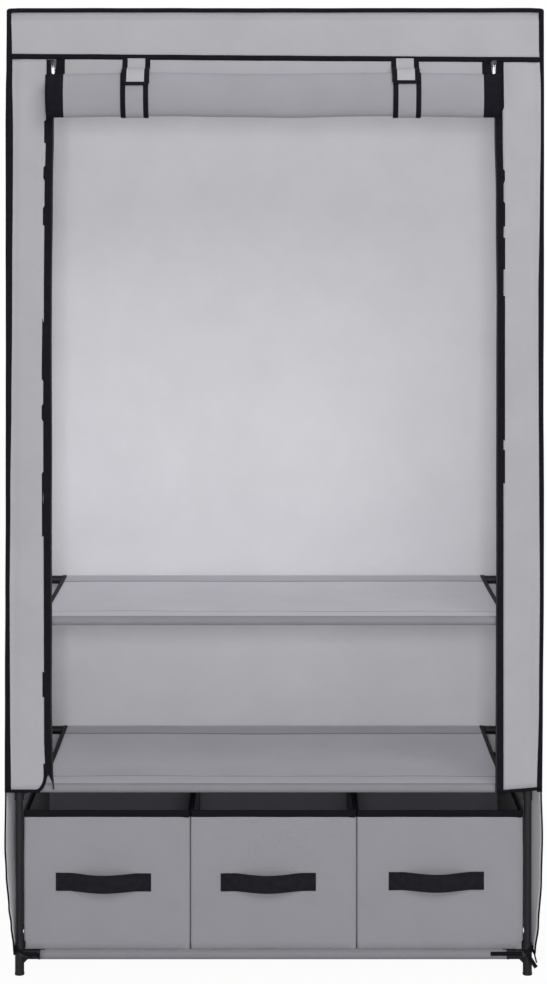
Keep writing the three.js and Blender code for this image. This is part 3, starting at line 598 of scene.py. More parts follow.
def flat_on(line, out):
    """Stations along a line of places, for a ribbon that lies flat with its face outwards"""
    stations = []
    for i, place in enumerate(line):
        along = line[min(i + 1, len(line) - 1)] - line[max(i - 1, 0)]
        stations.append((place, along.cross(out).normalized(), out))
    return stations


def joined(name, pieces):
    """Several pieces as one object"""
    take(pieces[0])
    for piece in pieces[1:]:
        piece.select_set(True)
    if len(pieces) > 1:
        bpy.ops.object.join()
    pieces[0].name = name
    return pieces[0]


def resampled(places, pitch):
    """Places at even distances along a line of places, each with its way along"""
    far = [d / MM for d in distances(places)]
    count = max(int(far[-1] / pitch), 1)
    found, k = [], 0
    for i in range(count):
        want = (i + 0.5) * far[-1] / count
        while far[k + 1] < want:
            k += 1
        share = (want - far[k]) / max(far[k + 1] - far[k], 1e-9)
        way = (places[k + 1] - places[k]).normalized()
        found.append((places[k].lerp(places[k + 1], share), way))
    return found


def stitches(name, lines, thread=0.45):
    """Rows of stitches, each a small raised grain; a line is its places and its way out"""
    verts, faces = [], []
    pitch = size("stitch_pitch")
    for places, out in lines:
        for place, along in resampled(places, pitch):
            side = along.cross(out).normalized()
            base = len(verts)
            half = pitch * 0.36
            for step, wide in ((-half, 0.35), (0.0, 1.0), (half, 0.35)):
                low = place + along * step - out * 0.2
                high = place + along * step + out * thread * wide
                verts.extend([low - side * thread * wide, low + side * thread * wide,
                              high + side * thread * wide * 0.5, high - side * thread * wide * 0.5])
            for j in (0, 4):
                for k in range(4):
                    m = (k + 1) % 4
                    faces.append((base + j + k, base + j + m, base + j + 4 + m, base + j + 4 + k))
            faces.append((base + 3, base + 2, base + 1, base))
            faces.append((base + 8, base + 9, base + 10, base + 11))
    return face_outwards(mesh_piece(name, verts, faces, smooth=False))


def steps(start, end, count):
    return [start + (end - start) * i / count for i in range(count + 1)]


def uneven(a, b, seed, width):
    """A smooth unevenness from -1 to 1 over two distances, the same on every run"""
    return noise.noise(Vector((a / width, b / width, seed * 7.31)))


def arch(share):
    """0 at both ends and 1 in the middle"""
    return math.sin(math.pi * share)


def bell(off, width):
    """1 at no distance, and falling away to nothing on both sides"""
    return math.exp(-(off / width) ** 2)


def within(value):
    return min(max(value, 0.0), 1.0)


def round_outline(half_x, half_y, radius, centre_y, corner=5, along=24, deep=14):
    """Places round a rounded rectangle, anticlockwise from above, each with its way out"""
    x, y = half_x - radius, half_y - radius
    middles = [(x, -y), (x, y), (-x, y), (-x, -y)]
    places = []
    for turn, (cx, cy) in enumerate(middles):
        start = (turn - 1) * math.pi / 2
        for i in range(corner + 1):
            angle = start + i / corner * math.pi / 2
            way = Vector((math.cos(angle), math.sin(angle), 0))
            places.append((Vector((cx, cy + centre_y, 0)) + way * radius, way))
        nx, ny = middles[(turn + 1) % 4]
        last, way = places[-1]
        to = Vector((nx, ny + centre_y, 0)) + way * radius
        count = deep if turn % 2 == 0 else along
        places.extend((last.lerp(to, i / count), way) for i in range(1, count))
    return places


# ---- frame ----

def model_tube(length, radius, wall):
    """A drawn steel tube lying along Z, centred, with its cut ends eased"""
    deselect()
    bpy.ops.mesh.primitive_cylinder_add(vertices=36, radius=radius * MM, depth=length * MM)
    tube = bpy.context.object
    edit(tube, lambda face: len(face.verts) > 4)
    bpy.ops.mesh.inset(thickness=wall * MM)
    bpy.ops.mesh.bridge_edge_loops()
    close_edit()
    edge = length / 2 * MM
    edit(tube, lambda e: all(abs(abs(v.co.z) - edge) < 1e-6 for v in e.verts)
         and len({round(v.co.xy.length, 6) for v in e.verts}) == 1, "EDGE")
    bpy.ops.mesh.bevel(offset=0.2 * MM, segments=1, affect="EDGES")
    close_edit()
    return tube


class WARDROBE_OT_steel_tubes(bpy.types.Operator):
    """Posts, cross tubes and side tubes of drawn steel tube"""

    bl_idname = "wardrobe.steel_tubes"
    bl_label = "Steel tubes"

    def execute(self, context):
        runs = {
            "z": [f"post_{end}_{side}" for end, _ in ENDS for side, _ in SIDES],
            "x": [f"cross_tube_{level}_{end}" for level in LEVELS for end, _ in ENDS],
            "y": [f"side_tube_{level}_{side}" for level in LEVELS for side, _ in SIDES],
        }
        for axis, nodes in runs.items():
            low, high = span_of(nodes[0])
            extent = high - low
            pattern = model_tube(max(extent), min(extent) / 2, size("tube_wall"))
            pattern.rotation_euler = AXIS_TURN[axis]
            take(pattern)
            bpy.ops.object.transform_apply()
            for node in nodes:
                piece = copy_at(pattern, middle_of(node))
                settle(piece, f"steel_{node}", "enamel", "wardrobe", [node], 40)
            remove(pattern)
        return {"FINISHED"}


def web(toward, other):
    """A gusset in the corner between two sockets, its free edge cut slantwise"""
    reach, thick = size("web_reach"), 2.6
    across = [abs(part) * thick / 2 for part in toward.cross(other)]
    low, high = (Vector([pick(0, a * reach, b * reach) + way * half
                         for a, b, half in zip(toward, other, across)])
                 for pick, way in ((min, -1), (max, 1)))
    deselect()
    bpy.ops.mesh.primitive_cube_add(size=1, location=(low + high) / 2 * MM,
                                    scale=(high - low) * MM)
    plate = bpy.context.object
    bpy.ops.object.transform_apply()
    edit(plate, lambda face: True)
    bpy.ops.mesh.bisect(plane_co=toward * reach * MM, plane_no=(toward + other), use_fill=True,
                        clear_outer=True)
    close_edit()
    return plate


def socket_stations(radius, reach, rim):
    """A socket from its post's axis to its mouth, which has a thicker rim"""
    return [(0, radius), (reach - rim - 0.3, radius), (reach - rim, radius + 0.5),
            (reach - 0.5, radius + 0.5), (reach, radius + 0.1)]


def model_connector(level):
    """A moulded corner round its post's axis, its sockets towards +X and +Y"""
    radius, reach, rim = size("socket_radius"), size("socket_reach"), size("rim_length")
    bottom = -LEVEL_Z["bottom"] if level == "bottom" else -BARREL_HALF
    top = radius if level == "top" else BARREL_HALF
    stations = eased(bottom, top, radius)
    if level == "bottom":
        stations = [(bottom, radius - 0.2), (bottom + 0.7, radius + 0.5),
                    (bottom + 3.6, radius + 0.5), (bottom + 4.1, radius), *stations[2:]]
    if level == "top":
        stations[-2:] = [(top - 1.6, radius), (top - 0.5, radius - 0.5), (top, radius - 1.8)]
    whole = turned("z", stations)
    for axis in "xy":
        combine(whole, turned(axis, socket_stations(radius, reach, rim)))
    for first, second in ((ACROSS, -UP), (-OUT_FRONT, -UP), (ACROSS, -OUT_FRONT)):
        combine(whole, web(first, second))
    # A foot and a top keep a closed end
    floor = bottom + 3 if level == "bottom" else bottom - CUT_PAST
    roof = top - 1.4 if level == "top" else top + CUT_PAST
    mouth = reach + CUT_PAST
    for axis, start, end in (("z", floor, roof), ("x", radius, mouth), ("y", radius, mouth)):
        bore = turned(axis, [(start, BORE_RADIUS), (end, BORE_RADIUS)])
        combine(whole, bore, "DIFFERENCE")
    return whole


class WARDROBE_OT_connectors(bpy.types.Operator):
    """Sixteen moulded corners: one pattern for each level, copied and mirrored to its four posts"""

    bl_idname = "wardrobe.connectors"
    bl_label = "Moulded corners"

    def execute(self, context):
        for level in LEVELS:
            pattern = model_connector(level)
            for end, to_y in ENDS:
                for side, to_x in SIDES:
                    node = f"connector_{level}_{end}_{side}"
                    place = (to_x * POST_X, POST_Y[end], LEVEL_Z[level])
                    piece = copy_at(pattern, place, (-to_x, -to_y, 1))
                    settle(piece, f"moulded_{node}", "moulding", "wardrobe",
                           [node], 35)
            remove(pattern)
        return {"FINISHED"}


class WARDROBE_OT_hanging_rail(bpy.types.Operator):
    """The hanging rail and the moulded tee on each of its ends"""

    bl_idname = "wardrobe.hanging_rail"
    bl_label = "Hanging rail"

    def execute(self, context):
        centre = middle_of("hanging_rail")
        into_tee, rail_radius = 12, 6.0
        tube = model_tube(2 * (POST_X - into_tee), rail_radius, size("tube_wall"))
        tube.rotation_euler = AXIS_TURN["x"]
        tube.location = centre * MM
        settle(tube, "rail_tube", "enamel", "wardrobe", ["hanging_rail"], 40)
        radius, reach, rim = size("socket_radius"), size("socket_reach"), size("rim_length")
        pattern = turned("y", eased(-BARREL_HALF, BARREL_HALF, radius))
        combine(pattern, turned("x", socket_stations(radius, reach, rim)))
        end, snug = BARREL_HALF + CUT_PAST, BORE_RADIUS - 0.15
        combine(pattern, turned("y", [(-end, BORE_RADIUS), (end, BORE_RADIUS)]), "DIFFERENCE")
        combine(pattern, turned("x", [(radius + 1.5, snug), (reach + CUT_PAST, snug)]),
                "DIFFERENCE")
        for side, to_x in SIDES:
            tee = copy_at(pattern, (to_x * POST_X, centre.y, centre.z), (-to_x, 1, 1))
            settle(tee, f"rail_tee_{side}", "moulding", "wardrobe", (), 35)
        remove(pattern)
        return {"FINISHED"}


# ---- cover ----

def knotted(knots, z):
    """The value at a height, easing from one knot of height and value to the next"""
    for (z0, v0), (z1, v1) in zip(knots, knots[1:]):
        if z < z1:
            share = within((z - z0) / (z1 - z0))
            return v0 + (v1 - v0) * share * share * (3 - 2 * share)
    return knots[-1][1]


# How far out each front corner of the cover hangs: it leans a little right, and is tied in at
# the hem
CORNER_OUT = {
    -1: ((36, 424.0), (47, 424.9), (85, 428.9), (114, 432.5), (170, 436.7), (213, 438.6),
         (300, 437.4), (455, 436.6), (618, 435.6), (781, 434.6), (1106, 433.9), (1382, 433.6),
         (1447, 433.0), (1487, 431.9), (1568, 431.2)),
    1: ((36, 427.0), (42, 428.0), (85, 433.1), (158, 437.7), (231, 439.2), (304, 437.2),
        (455, 437.9), (618, 439.0), (781, 439.0), (944, 437.7), (1106, 438.1), (1382, 437.8),
        (1520, 437.3), (1568, 436.9)),
}
# How wide the binding of that corner shows, where it turns on the corner
CORNER_WIDE = {
    -1: ((304, 10.8), (455, 8.9), (618, 7.6), (781, 8.1), (944, 9.7), (1106, 10.8),
         (1382, 12.3), (1487, 9.9), (1568, 7.8)),
    1: ((304, 9.3), (455, 6.9), (618, 7.2), (781, 8.9), (1106, 9.8), (1269, 7.2), (1382, 5.8),
        (1447, 5.8), (1520, 8.4), (1568, 8.4)),
}
# Where each front strip's free edge hangs, and the free edge of the zip tape on it
STRIP_EDGE = {
    -1: ((304, 371.8), (340, 372.4), (389, 374.0), (944, 374.5), (1106, 373.1), (1269, 371.8),
         (1382, 369.4), (1487, 368.0)),
    1: ((304, 375.1), (618, 374.5), (1106, 373.7), (1269, 373.6), (1382, 371.8), (1487, 370.6)),
}
TAPE_EDGE = {
    -1: ((300, 357.4), (345, 359.5), (454, 361.2), (618, 360.6), (944, 360.2), (1106, 359.8),
         (1269, 357.9), (1382, 356.3), (1490, 355.5)),
    1: ((300, 361.6), (454, 362.0), (618, 362.3), (1106, 362.0), (1269, 360.8), (1382, 358.3),
        (1490, 357.0)),
}


def cover_x(side, y, z):
    """How far out the cover hangs on one side. Near the hem it is tied in at its front, and its
    free front edge flares out from the tubes that the rest of it lies on"""
    front = knotted(CORNER_OUT[side], z)
    rear = knotted(CORNER_OUT[side], max(z, STRIP_FOOT_Z))
    share = within((y - FRONT_Y) / (BACK_Y - FRONT_Y))
    flare = knotted(((STRIP_FOOT_Z, 11.0 + 2.5 * side), (STRIP_FOOT_Z + 150, 0.0)), z)
    flare *= knotted(((FRONT_Y + 4, 0.0), (FRONT_Y + 52, 1.0)), y) * (1 - share ** 2)
    return max(front + (rear - front) * share ** 2 - flare, min(front, 425.3))


def across_cover(x, z):
    """A place across the lid or the back, moved with the cover's sides"""
    share = (x + SIDE_X) / (2 * SIDE_X)
    return -cover_x(-1, BACK_Y, z) * (1 - share) + cover_x(1, BACK_Y, z) * share


def seam_slant(x):
    """The front seam runs a little downhill from left to right"""
    return -1.5 - 2.9 * x / SIDE_X


def skirt_rows():
    loop = round_outline(SIDE_X, HALF_DEPTH, 5.0, MID_Y, 4, 64, 36)
    rows = []
    for share in steps(0, 0.7, 8) + steps(0.7, 1, 12)[1:]:
        row = []
        for place, out in loop:
            low = SEAM_Z + seam_slant(place.x)
            z = low + (TOP_Z - low) * share
            soft = arch(share) * size("ripple") * 0.5
            puff = soft * uneven(place.x + place.y, z, 3, 90) - 0.5 * soft
            # Drawn in under the piping, and dented near the lid's ends
            puff -= 3.8 * bell(TOP_Z - 10.5 - z, 6)
            puff -= 2.6 * abs(out.y) * arch(share) * bell(abs(place.x) - (SIDE_X - 16), 8)
            row.append(Vector((across_cover(place.x, z), place.y, z)) + out * puff)
        rows.append(row)
    return rows


def lid_rows():
    half_x, half_y = SIDE_X - 1.0, HALF_DEPTH - 1.0
    rows = []
    rail = (middle_of("hanging_rail").y - MID_Y) / half_y
    for v in steps(-1, 1, 40):
        row = []
        for u in steps(-1, 1, 60):
            x, y = u * half_x, MID_Y + v * half_y
            bay = abs(arch((v - rail) / 0.96)) * max(1 - u ** 8, 0)
            edge = min(1 - abs(u), (1 - abs(v)) * half_y / half_x)
            rest = min(edge * half_x / 20.0, 1.0)
            sag = size("lid_sag") * bay * rest + rest
            z = TOP_Z - sag + rest * (0.3 + 0.9 * bay) * uneven(x, y, 5, 70)
            row.append(Vector((across_cover(x, z), y, z)))
        rows.append(row)
    return rows


class WARDROBE_OT_lid(bpy.types.Operator):
    """The lid: a top panel that hangs slightly between the tubes, and its skirt"""

    bl_idname = "wardrobe.lid"
    bl_label = "Lid"

    def execute(self, context):
        thick = size("cloth")
        skirt = cloth("lid_skirt", skirt_rows(), thick, closed=True)
        settle(skirt, "lid_skirt", "cover", "wardrobe", ["cover_cap"])
        top = cloth("lid_top", lid_rows(), thick)
        settle(top, "lid_top", "cover", "wardrobe")
        return {"FINISHED"}


# Where a soft upright fold lies across each strip, from its free edge to the corner
STRIP_FOLDS = {
    -1: ((304, 0.84), (1500, 0.87)),
    1: ((304, 0.71), (800, 0.74), (1200, 0.81), (1500, 0.82)),
}


def foot_rise(side, x):
    """The right strip's foot climbs a little towards the corner"""
    return 0.083 * (x - STRIP_X) + 0.4 if side > 0 else 0.0


def side_rows(side):
    """Rows up the cover's side, from the strip's edge round the corner to the rear"""
    strip = steps(0, 1, 14)
    corner = steps(0, math.pi / 2, CORNER_STEPS)
    deep = steps(FRONT_Y + CORNER_RADIUS, BACK_Y - 1.5, 44)[1:]
    heights = steps(HEM_Z, STRIP_FOOT_Z, 24)[:-1] + steps(STRIP_FOOT_Z, CLOTH_TOP_Z, 90)
    ripple = size("ripple")
    rows = []
    for z in heights:
        fade = arch((z - HEM_Z) / (SEAM_Z - HEM_Z))
        above = z - STRIP_FOOT_Z
        corner_x = knotted(CORNER_OUT[side], z) - CORNER_RADIUS
        edge = knotted(STRIP_EDGE[side], z)
        if side < 0 and 0 <= above < 24:
            edge += 14 * (1 - above / 24) ** 1.6
        row = []
        for share in strip[:-1]:
            x = edge + (corner_x - edge) * share
            soft = arch(min(above / 300, 0.5)) if above > 0 else 0.0
            fold = knotted(STRIP_FOLDS[side], z) - share
            dent = 3.2 * bell(fold, 0.1) - 2.0 * bell(fold + 0.17, 0.1)
            dent *= 0.55 + 0.45 * uneven(z, side, 13, 420)
            depth = soft * (dent + 0.35 * ripple * uneven(x * 3, z, 11 + side, 160))
            rise = foot_rise(side, x) * math.exp(-max(above, 0) / 20)
            row.append(Vector((side * x, FRONT_Y + max(depth, -1.5), z + rise)))
        for a in corner:
            x = corner_x + CORNER_RADIUS * math.sin(a)
            rise = foot_rise(side, x) * math.exp(-max(above, 0) / 20) if above >= 0 else 0.0
            y = FRONT_Y + CORNER_RADIUS * (1 - math.cos(a))
            row.append(Vector((side * x, y, z + rise)))
        for y in deep:
            share = (y - FRONT_Y) / (BACK_Y - FRONT_Y)
            wave = ripple * uneven(y, z * 0.45, 17 + side, 75) * arch(share)
            inward = 3.0 * arch(2 * share) ** 2 * fade + wave * max(fade, 0.15)
            row.append(Vector((side * (cover_x(side, y, z) - max(inward, -0.5)), y, z)))
        rows.append(row if side > 0 else row[::-1])
    return rows, len(strip) - 1, sum(z < STRIP_FOOT_Z for z in heights)


class WARDROBE_OT_side_panels(bpy.types.Operator):
    """Each side of the cover, which turns the corner into its front strip"""

    bl_idname = "wardrobe.side_panels"
    bl_label = "Side panels"

    def execute(self, context):
        for side, to_x in SIDES:
            rows, strip_columns, below = side_rows(to_x)
            columns = len(rows[0]) - 1

            def keep(i, j, to_x=to_x, columns=columns, strip_columns=strip_columns, below=below):
                column = i if to_x > 0 else columns - 1 - i
                return j >= below or column >= strip_columns + CORNER_STEPS

            piece = cloth(f"side_panel_{side}", rows, size("cloth"), keep=keep, inner=1)
            # The inner faces get the lighter inside finish, a painted glow of light through the
            # cloth
            settle(piece, f"side_panel_{side}", ["cover", "back"], "wardrobe",
                   [f"cover_side_{side}"])
        return {"FINISHED"}


def back_place(x, z):
    fade = arch((z - HEM_Z) / (SEAM_Z - HEM_Z))
    share = (x + SIDE_X) / (2 * SIDE_X)
    fold = 2.4 * arch(3 * share) ** 2 * fade
    wave = size("ripple") * uneven(x * 0.9, z * 0.5, 23, 95) * arch(share)
    inward = max(fold + wave * max(fade, 0.2), -0.4)
    return Vector((across_cover(x, z), BACK_Y - inward, z))


class WARDROBE_OT_back_panel(bpy.types.Operator):
    """The back of the cover, hanging in shallow folds"""

    bl_idname = "wardrobe.back_panel"
    bl_label = "Back panel"

    def execute(self, context):
        rows = [[back_place(x, z) for x in steps(SIDE_X, -SIDE_X, 70)]
                for z in steps(HEM_Z, CLOTH_TOP_Z, 110)]
        piece = cloth("back_panel", rows, size("cloth"), inner=1)
        # The inner faces get the lighter inside finish, a painted glow of light through the cloth
        settle(piece, "back_panel", ["cover", "back"], "wardrobe", ["cover_back"])
        return {"FINISHED"}


def round_lid(z_of, droop=0.0):
    """Stations round the lid; the piping droops where it turns the lid's corners"""
    stations = []
    for place, out in round_outline(SIDE_X, HALF_DEPTH, 6.0, MID_Y, 5, 60, 34):
        level = z_of(place.x) + 0.35 * uneven(place.x, place.y, 31, 60)
        level -= droop * math.exp(-(SIDE_X - abs(place.x)) / 4)
        centre = Vector((across_cover(place.x, level), place.y, level)) + out * 0.1
        stations.append((centre, UP, out))
    return stations


def corner_stations(side, end, width):
    """The upright binding on a corner of the cover; a front one ends at the strip's foot"""
    y = FRONT_Y if end < 0 else BACK_Y
    stations = []
    for z in steps(STRIP_FOOT_Z if end < 0 else HEM_Z, TOP_Z - 5, 120):
        wide = knotted(CORNER_WIDE[side], z) if end < 0 else width
        x = side * (cover_x(side, y, z) + 1.3 - wide / 2 + 0.2 * uneven(z, y, 37 + side, 70))
        stations.append((Vector((x, y - end * 1.2, z)), Vector((wide / width, 0, 0)),
                         Vector((0, end, 0))))
    return stations


def free_edge_stations(side):
    """The bound front edge of a side panel below its strip; the right one has a loose end"""
    out = Vector((side, 0, 0))
    stations = []
    for z in steps(STRIP_FOOT_Z + 3, HEM_Z, 60):
        x = side * (cover_x(side, FRONT_Y, z) - 0.4)
        stations.append((Vector((x, FRONT_Y + 3.0, z)), Vector((0, -side, 0)), out))
    if side > 0:
        place, across, _ = stations[-1]
        for step in range(1, 7):
            stations.append((place + Vector((0.5 * step, -0.3 * step, -2.0 * step)), across, out))
    return stations


def hem_tie_runs(side):
    """The tape that ties the hem to a front leg: a turn round the leg, down to the foot's socket,
    its two ends and the part behind the arm, which leave the boxes free to slide out over them"""
    post = Vector((side * POST_X, POST_Y["front"], 0))
    turn = []
    for share in steps(0, 1, 16):
        a = math.radians(-8 - 120 * share)
        way = Vector((side * math.cos(a), math.sin(a), 0))
        turn.append((post + way * 9.3 + UP * (47 - 9.6 * share ** 2), UP, way))
    runs = [ribbon("turn", turn, 6.5, 1.5)]
    y = POST_Y["front"] - 9.2

    def tail(path, wide, thick=1.6):
        line = [Vector((side * x, y - lift, z)) for x, lift, z in path]
        return ribbon("tail", flat_on(line, OUT_FRONT), wide, thick)

    if side > 0:
        runs.append(tail([(407 - 52 * t, 0.8 + 0.8 * math.sin(3 * t), 37 + 0.5 * math.sin(3 * t))
                          for t in steps(0, 1, 18)], 6.8))
        runs.append(tail([(415 + 14 * t, 0.6 + 1.5 * t, 37 - 22 * t) for t in steps(0, 1, 10)],
                         6.8))
    else:
        runs.append(tail([(407 - 24 * t, 0.8 + 1.2 * math.sin(7 * t),
                           37.2 - 2 * t * t + 0.4 * math.sin(10 * t)) for t in steps(0, 1, 18)],
                         6.4, 2.2))
        runs.append(tail([(409 - 15 * t, 2.4, 37.4 - 3 * t + 0.9 * math.sin(7 * t))
                          for t in steps(0, 1, 10)], 5.0, 2.2))
    runs.append(tail([(408 - 26 * t, -20.7, 37.4 - 0.4 * t * t) for t in steps(0, 1, 10)], 7.2))
    return runs


def hem_stations():
    """The hem of the side panels and the back, from one front edge round to the other"""
    line = []
    z, bend = HEM_Z + 3.6, 6.0
    right, left = cover_x(1, BACK_Y, z) - bend, bend - cover_x(-1, BACK_Y, z)

    def along_side(side, start, end):
        line.extend((Vector((side * cover_x(side, y, z), y, z)), Vector((side, 0, 0)))
                    for y in steps(start, end, 40))

    def round_corner(x, start):
        for a in steps(start, start + math.pi / 2, 5)[1:-1]:
            way = Vector((math.cos(a), math.sin(a), 0))
            line.append((Vector((x, BACK_Y - bend, z)) + way * bend, way))

    along_side(1, FRONT_Y + 2, BACK_Y - bend)
    round_corner(right, 0)
    line.extend((Vector((x, BACK_Y, z)), Vector((0, 1, 0))) for x in steps(right, left, 50))
    round_corner(left, math.pi / 2)
    along_side(-1, BACK_Y - bend, FRONT_Y + 2)
    return [(place - way * 0.6, UP, way) for place, way in line]


def strip_foot_stations(side):
    """The binding along the foot of a front strip; the left one turns up to the zip"""
    if side < 0:
        line = [(x, STRIP_FOOT_Z + 1) for x in steps(cover_x(-1, FRONT_Y, 305) - 2, 391, 8)]
        line += [(388, 304.8), (384, 305.8), (381, 307.6), (378, 311), (375.5, 315.5),
                 (373.5, 321), (372.4, 328), (372.3, 338), (372.8, 350)]
    else:
        line = [(x, STRIP_FOOT_Z + foot_rise(1, x))
                for x in steps(cover_x(1, FRONT_Y, 305) - 2, 368, 14)]
    return flat_on([Vector((side * x, FRONT_Y + 0.6, z)) for x, z in line], OUT_FRONT)


class WARDROBE_OT_bindings(bpy.types.Operator):
    """Black folded binding on the lid's edge and seam, the corners, the hem, the strips' feet"""

    bl_idname = "wardrobe.bindings"
    bl_label = "Edge bindings"

    def execute(self, context):
        wide, deep = size("binding_width"), size("binding_depth")
        runs = [
            ribbon("lid_edge", round_lid(lambda x: TOP_Z - 2.7, 2.4), 7.4, 3.6, closed=True),
            ribbon("lid_seam", round_lid(lambda x: SEAM_Z + seam_slant(x)), wide, deep,
                   closed=True),
            ribbon("hem", hem_stations(), wide - 1, deep),
        ]
        for side, to_x in SIDES:
            runs.append(ribbon("foot", strip_foot_stations(to_x), 5.6, deep))
            runs.append(ribbon("free_edge", free_edge_stations(to_x), 6.6, 2.6))
            runs.extend(hem_tie_runs(to_x))
            for end, to_y in ENDS:
                runs.append(ribbon("corner", corner_stations(to_x, to_y, wide), wide, 4.6))
        piece = joined("edge_bindings", runs)
        settle(piece, "edge_bindings", "binding", "wardrobe", ["cover_binding"])
        return {"FINISHED"}


# ---- rolled door and ties ----

# The roll's centre, its half sizes and what each turn takes in; the half widths of the door's
# grey cloth, of its band at the seam and of the roll
ROLL_CENTRE_Z = ROLL_LOW.z + 38.0
ROLL_HALF_DEPTH, ROLL_HALF_HEIGHT = 17.0, 36.0
ROLL_CENTRE_Y = FRONT_Y - 7.0 - ROLL_HALF_DEPTH
ROLL_PITCH = 1.9
GREY_HALF_WIDTH, BAND_HALF_WIDTH, ROLL_HALF_WIDTH = 338.0, 352.0, 367.0
BAND_STEPS, TURN_STEPS = 14, 36


def roll_place(turns, shrink):
    """A place round the roll, in depth and height: it starts at the back and goes down"""
    angle = 2 * math.pi * turns
    return (ROLL_CENTRE_Y + (ROLL_HALF_DEPTH - shrink) * math.cos(angle),
            ROLL_CENTRE_Z - (ROLL_HALF_HEIGHT - shrink) * math.sin(angle))


def band_line():
    """The door's flat band from the seam down behind the roll, as a smooth curve"""
    y0 = FRONT_Y + 0.5
    knots = [(y0, CLOTH_TOP_Z), (y0, SEAM_Z - 25), (ROLL_CENTRE_Y + ROLL_HALF_DEPTH - 0.45,
             SEAM_Z - 43), roll_place(0, 0.45)]
    line = []
    for t in steps(0, 1, BAND_STEPS):
        a, b, c, d = (1 - t) ** 3, 3 * t * (1 - t) ** 2, 3 * t * t * (1 - t), t ** 3
        line.append(tuple(a * knots[0][n] + b * knots[1][n] + c * knots[2][n] + d * knots[3][n]
                          for n in (0, 1)))
    return line


def door_rows():
    """Rows across the door, from the seam down and round the roll's turns to its core"""
    half = size("door_cloth") / 2
    grey, full_width = GREY_HALF_WIDTH, ROLL_HALF_WIDTH
    across = (steps(-full_width, -grey, 4)[:-1] + steps(-grey, grey, 68)
              + steps(grey, full_width, 4)[1:])
    rows = []
    for i, (y, z) in enumerate(band_line()[:-1]):
        share = i / BAND_STEPS
        wide = BAND_HALF_WIDTH + (full_width - BAND_HALF_WIDTH) * share ** 2
        row = []
        for x in across:
            sag = 2.5 * share * math.cos(math.pi * x / full_width) ** 2
            if abs(x) > grey:
                x = math.copysign(grey + (abs(x) - grey) * (wide - grey) / (full_width - grey), x)
            row.append(Vector((x, y + 0.5 * uneven(x, z * 2, 41, 90) * share,
                               z + (0 if i else seam_slant(x)) - sag)))
        rows.append(row)
    for i in range(bpy.context.scene.wardrobe_sizes.roll_turns * TURN_STEPS + 1):
        turns = i / TURN_STEPS
        row = []
        for x in across:
            angle = 2 * math.pi * turns
            full = 0.8 * uneven(x, math.sin(angle) * 60, 43, 85) * (1 - turns / 8)
            y, z = roll_place(turns, ROLL_PITCH * turns + half - full)
            share = max((abs(x) - grey) / (full_width - grey), 0.0)
            end = 3.0 * share * abs(noise.noise(Vector((turns * 1.7, math.copysign(4, x), 9))))
            z -= 2.5 * math.cos(math.pi * x / full_width) ** 2
            row.append(Vector((x - math.copysign(end, x), y, z)))
        rows.append(row)
    return rows


class WARDROBE_OT_rolled_door(bpy.types.Operator):
    """The front door: one sheet that hangs from the seam and is rolled up, tape on both edges"""

    bl_idname = "wardrobe.rolled_door"
    bl_label = "Rolled door"

    def execute(self, context):
        rows = door_rows()
        columns = len(rows[0]) - 1

        def finish_at(i, j):
            x = (rows[j][i].x + rows[j][i + 1].x) / 2
            return 1 if abs(x) > GREY_HALF_WIDTH else 0

        # The roll shows the darker door finish, which paints the shade on the roll
        piece = cloth("rolled_door_cloth", rows, size("door_cloth"), offset=0.0,
                      finish_at=finish_at, inner=2)
        settle(piece, "rolled_door_cloth", ["door", "tape", "cover", "tape"], "wardrobe",
               ["rolled_door"])
        length = distances([row[columns // 2] for row in rows])[-1]
        return {"FINISHED"}


def strap_rows(line, middle, width, columns=8):
    return [[Vector((middle + u * width / 2, y, z)) for u in steps(-1, 1, columns)]
            for y, z in line]


def strap_stations(line, x):
    """Stations down a strap's edge, for its binding"""
    stations = []
    for i, (y, z) in enumerate(line):
        before, after = line[max(i - 1, 0)], line[min(i + 1, len(line) - 1)]
        along = Vector((0, after[0] - before[0], after[1] - before[1])).normalized()
        stations.append((Vector((x, y, z)), ACROSS, ACROSS.cross(along)))
    return stations


def tie_lines(end):
    """The strap that hangs in front down to its end, a share of a turn, and the one that comes
    round under the roll from behind"""
    lap = -2.9
    front_y = FRONT_Y - 1.2
    upper = [(front_y, SEAM_Z - 2), (front_y - 0.5, SEAM_Z - 8), (front_y - 5, SEAM_Z - 16)]
    upper += [roll_place(t, lap - 1.5) for t in steps(-0.24, end, 10)]
    lower = [roll_place(t, lap + 1.1) for t in steps(-0.325, -1.0, 34)]
    lower += [(ROLL_CENTRE_Y + 21.0, ROLL_CENTRE_Z + 12), (FRONT_Y + 2.2, SEAM_Z - 24),
              (FRONT_Y + 2.2, SEAM_Z - 4)]
    return upper, lower


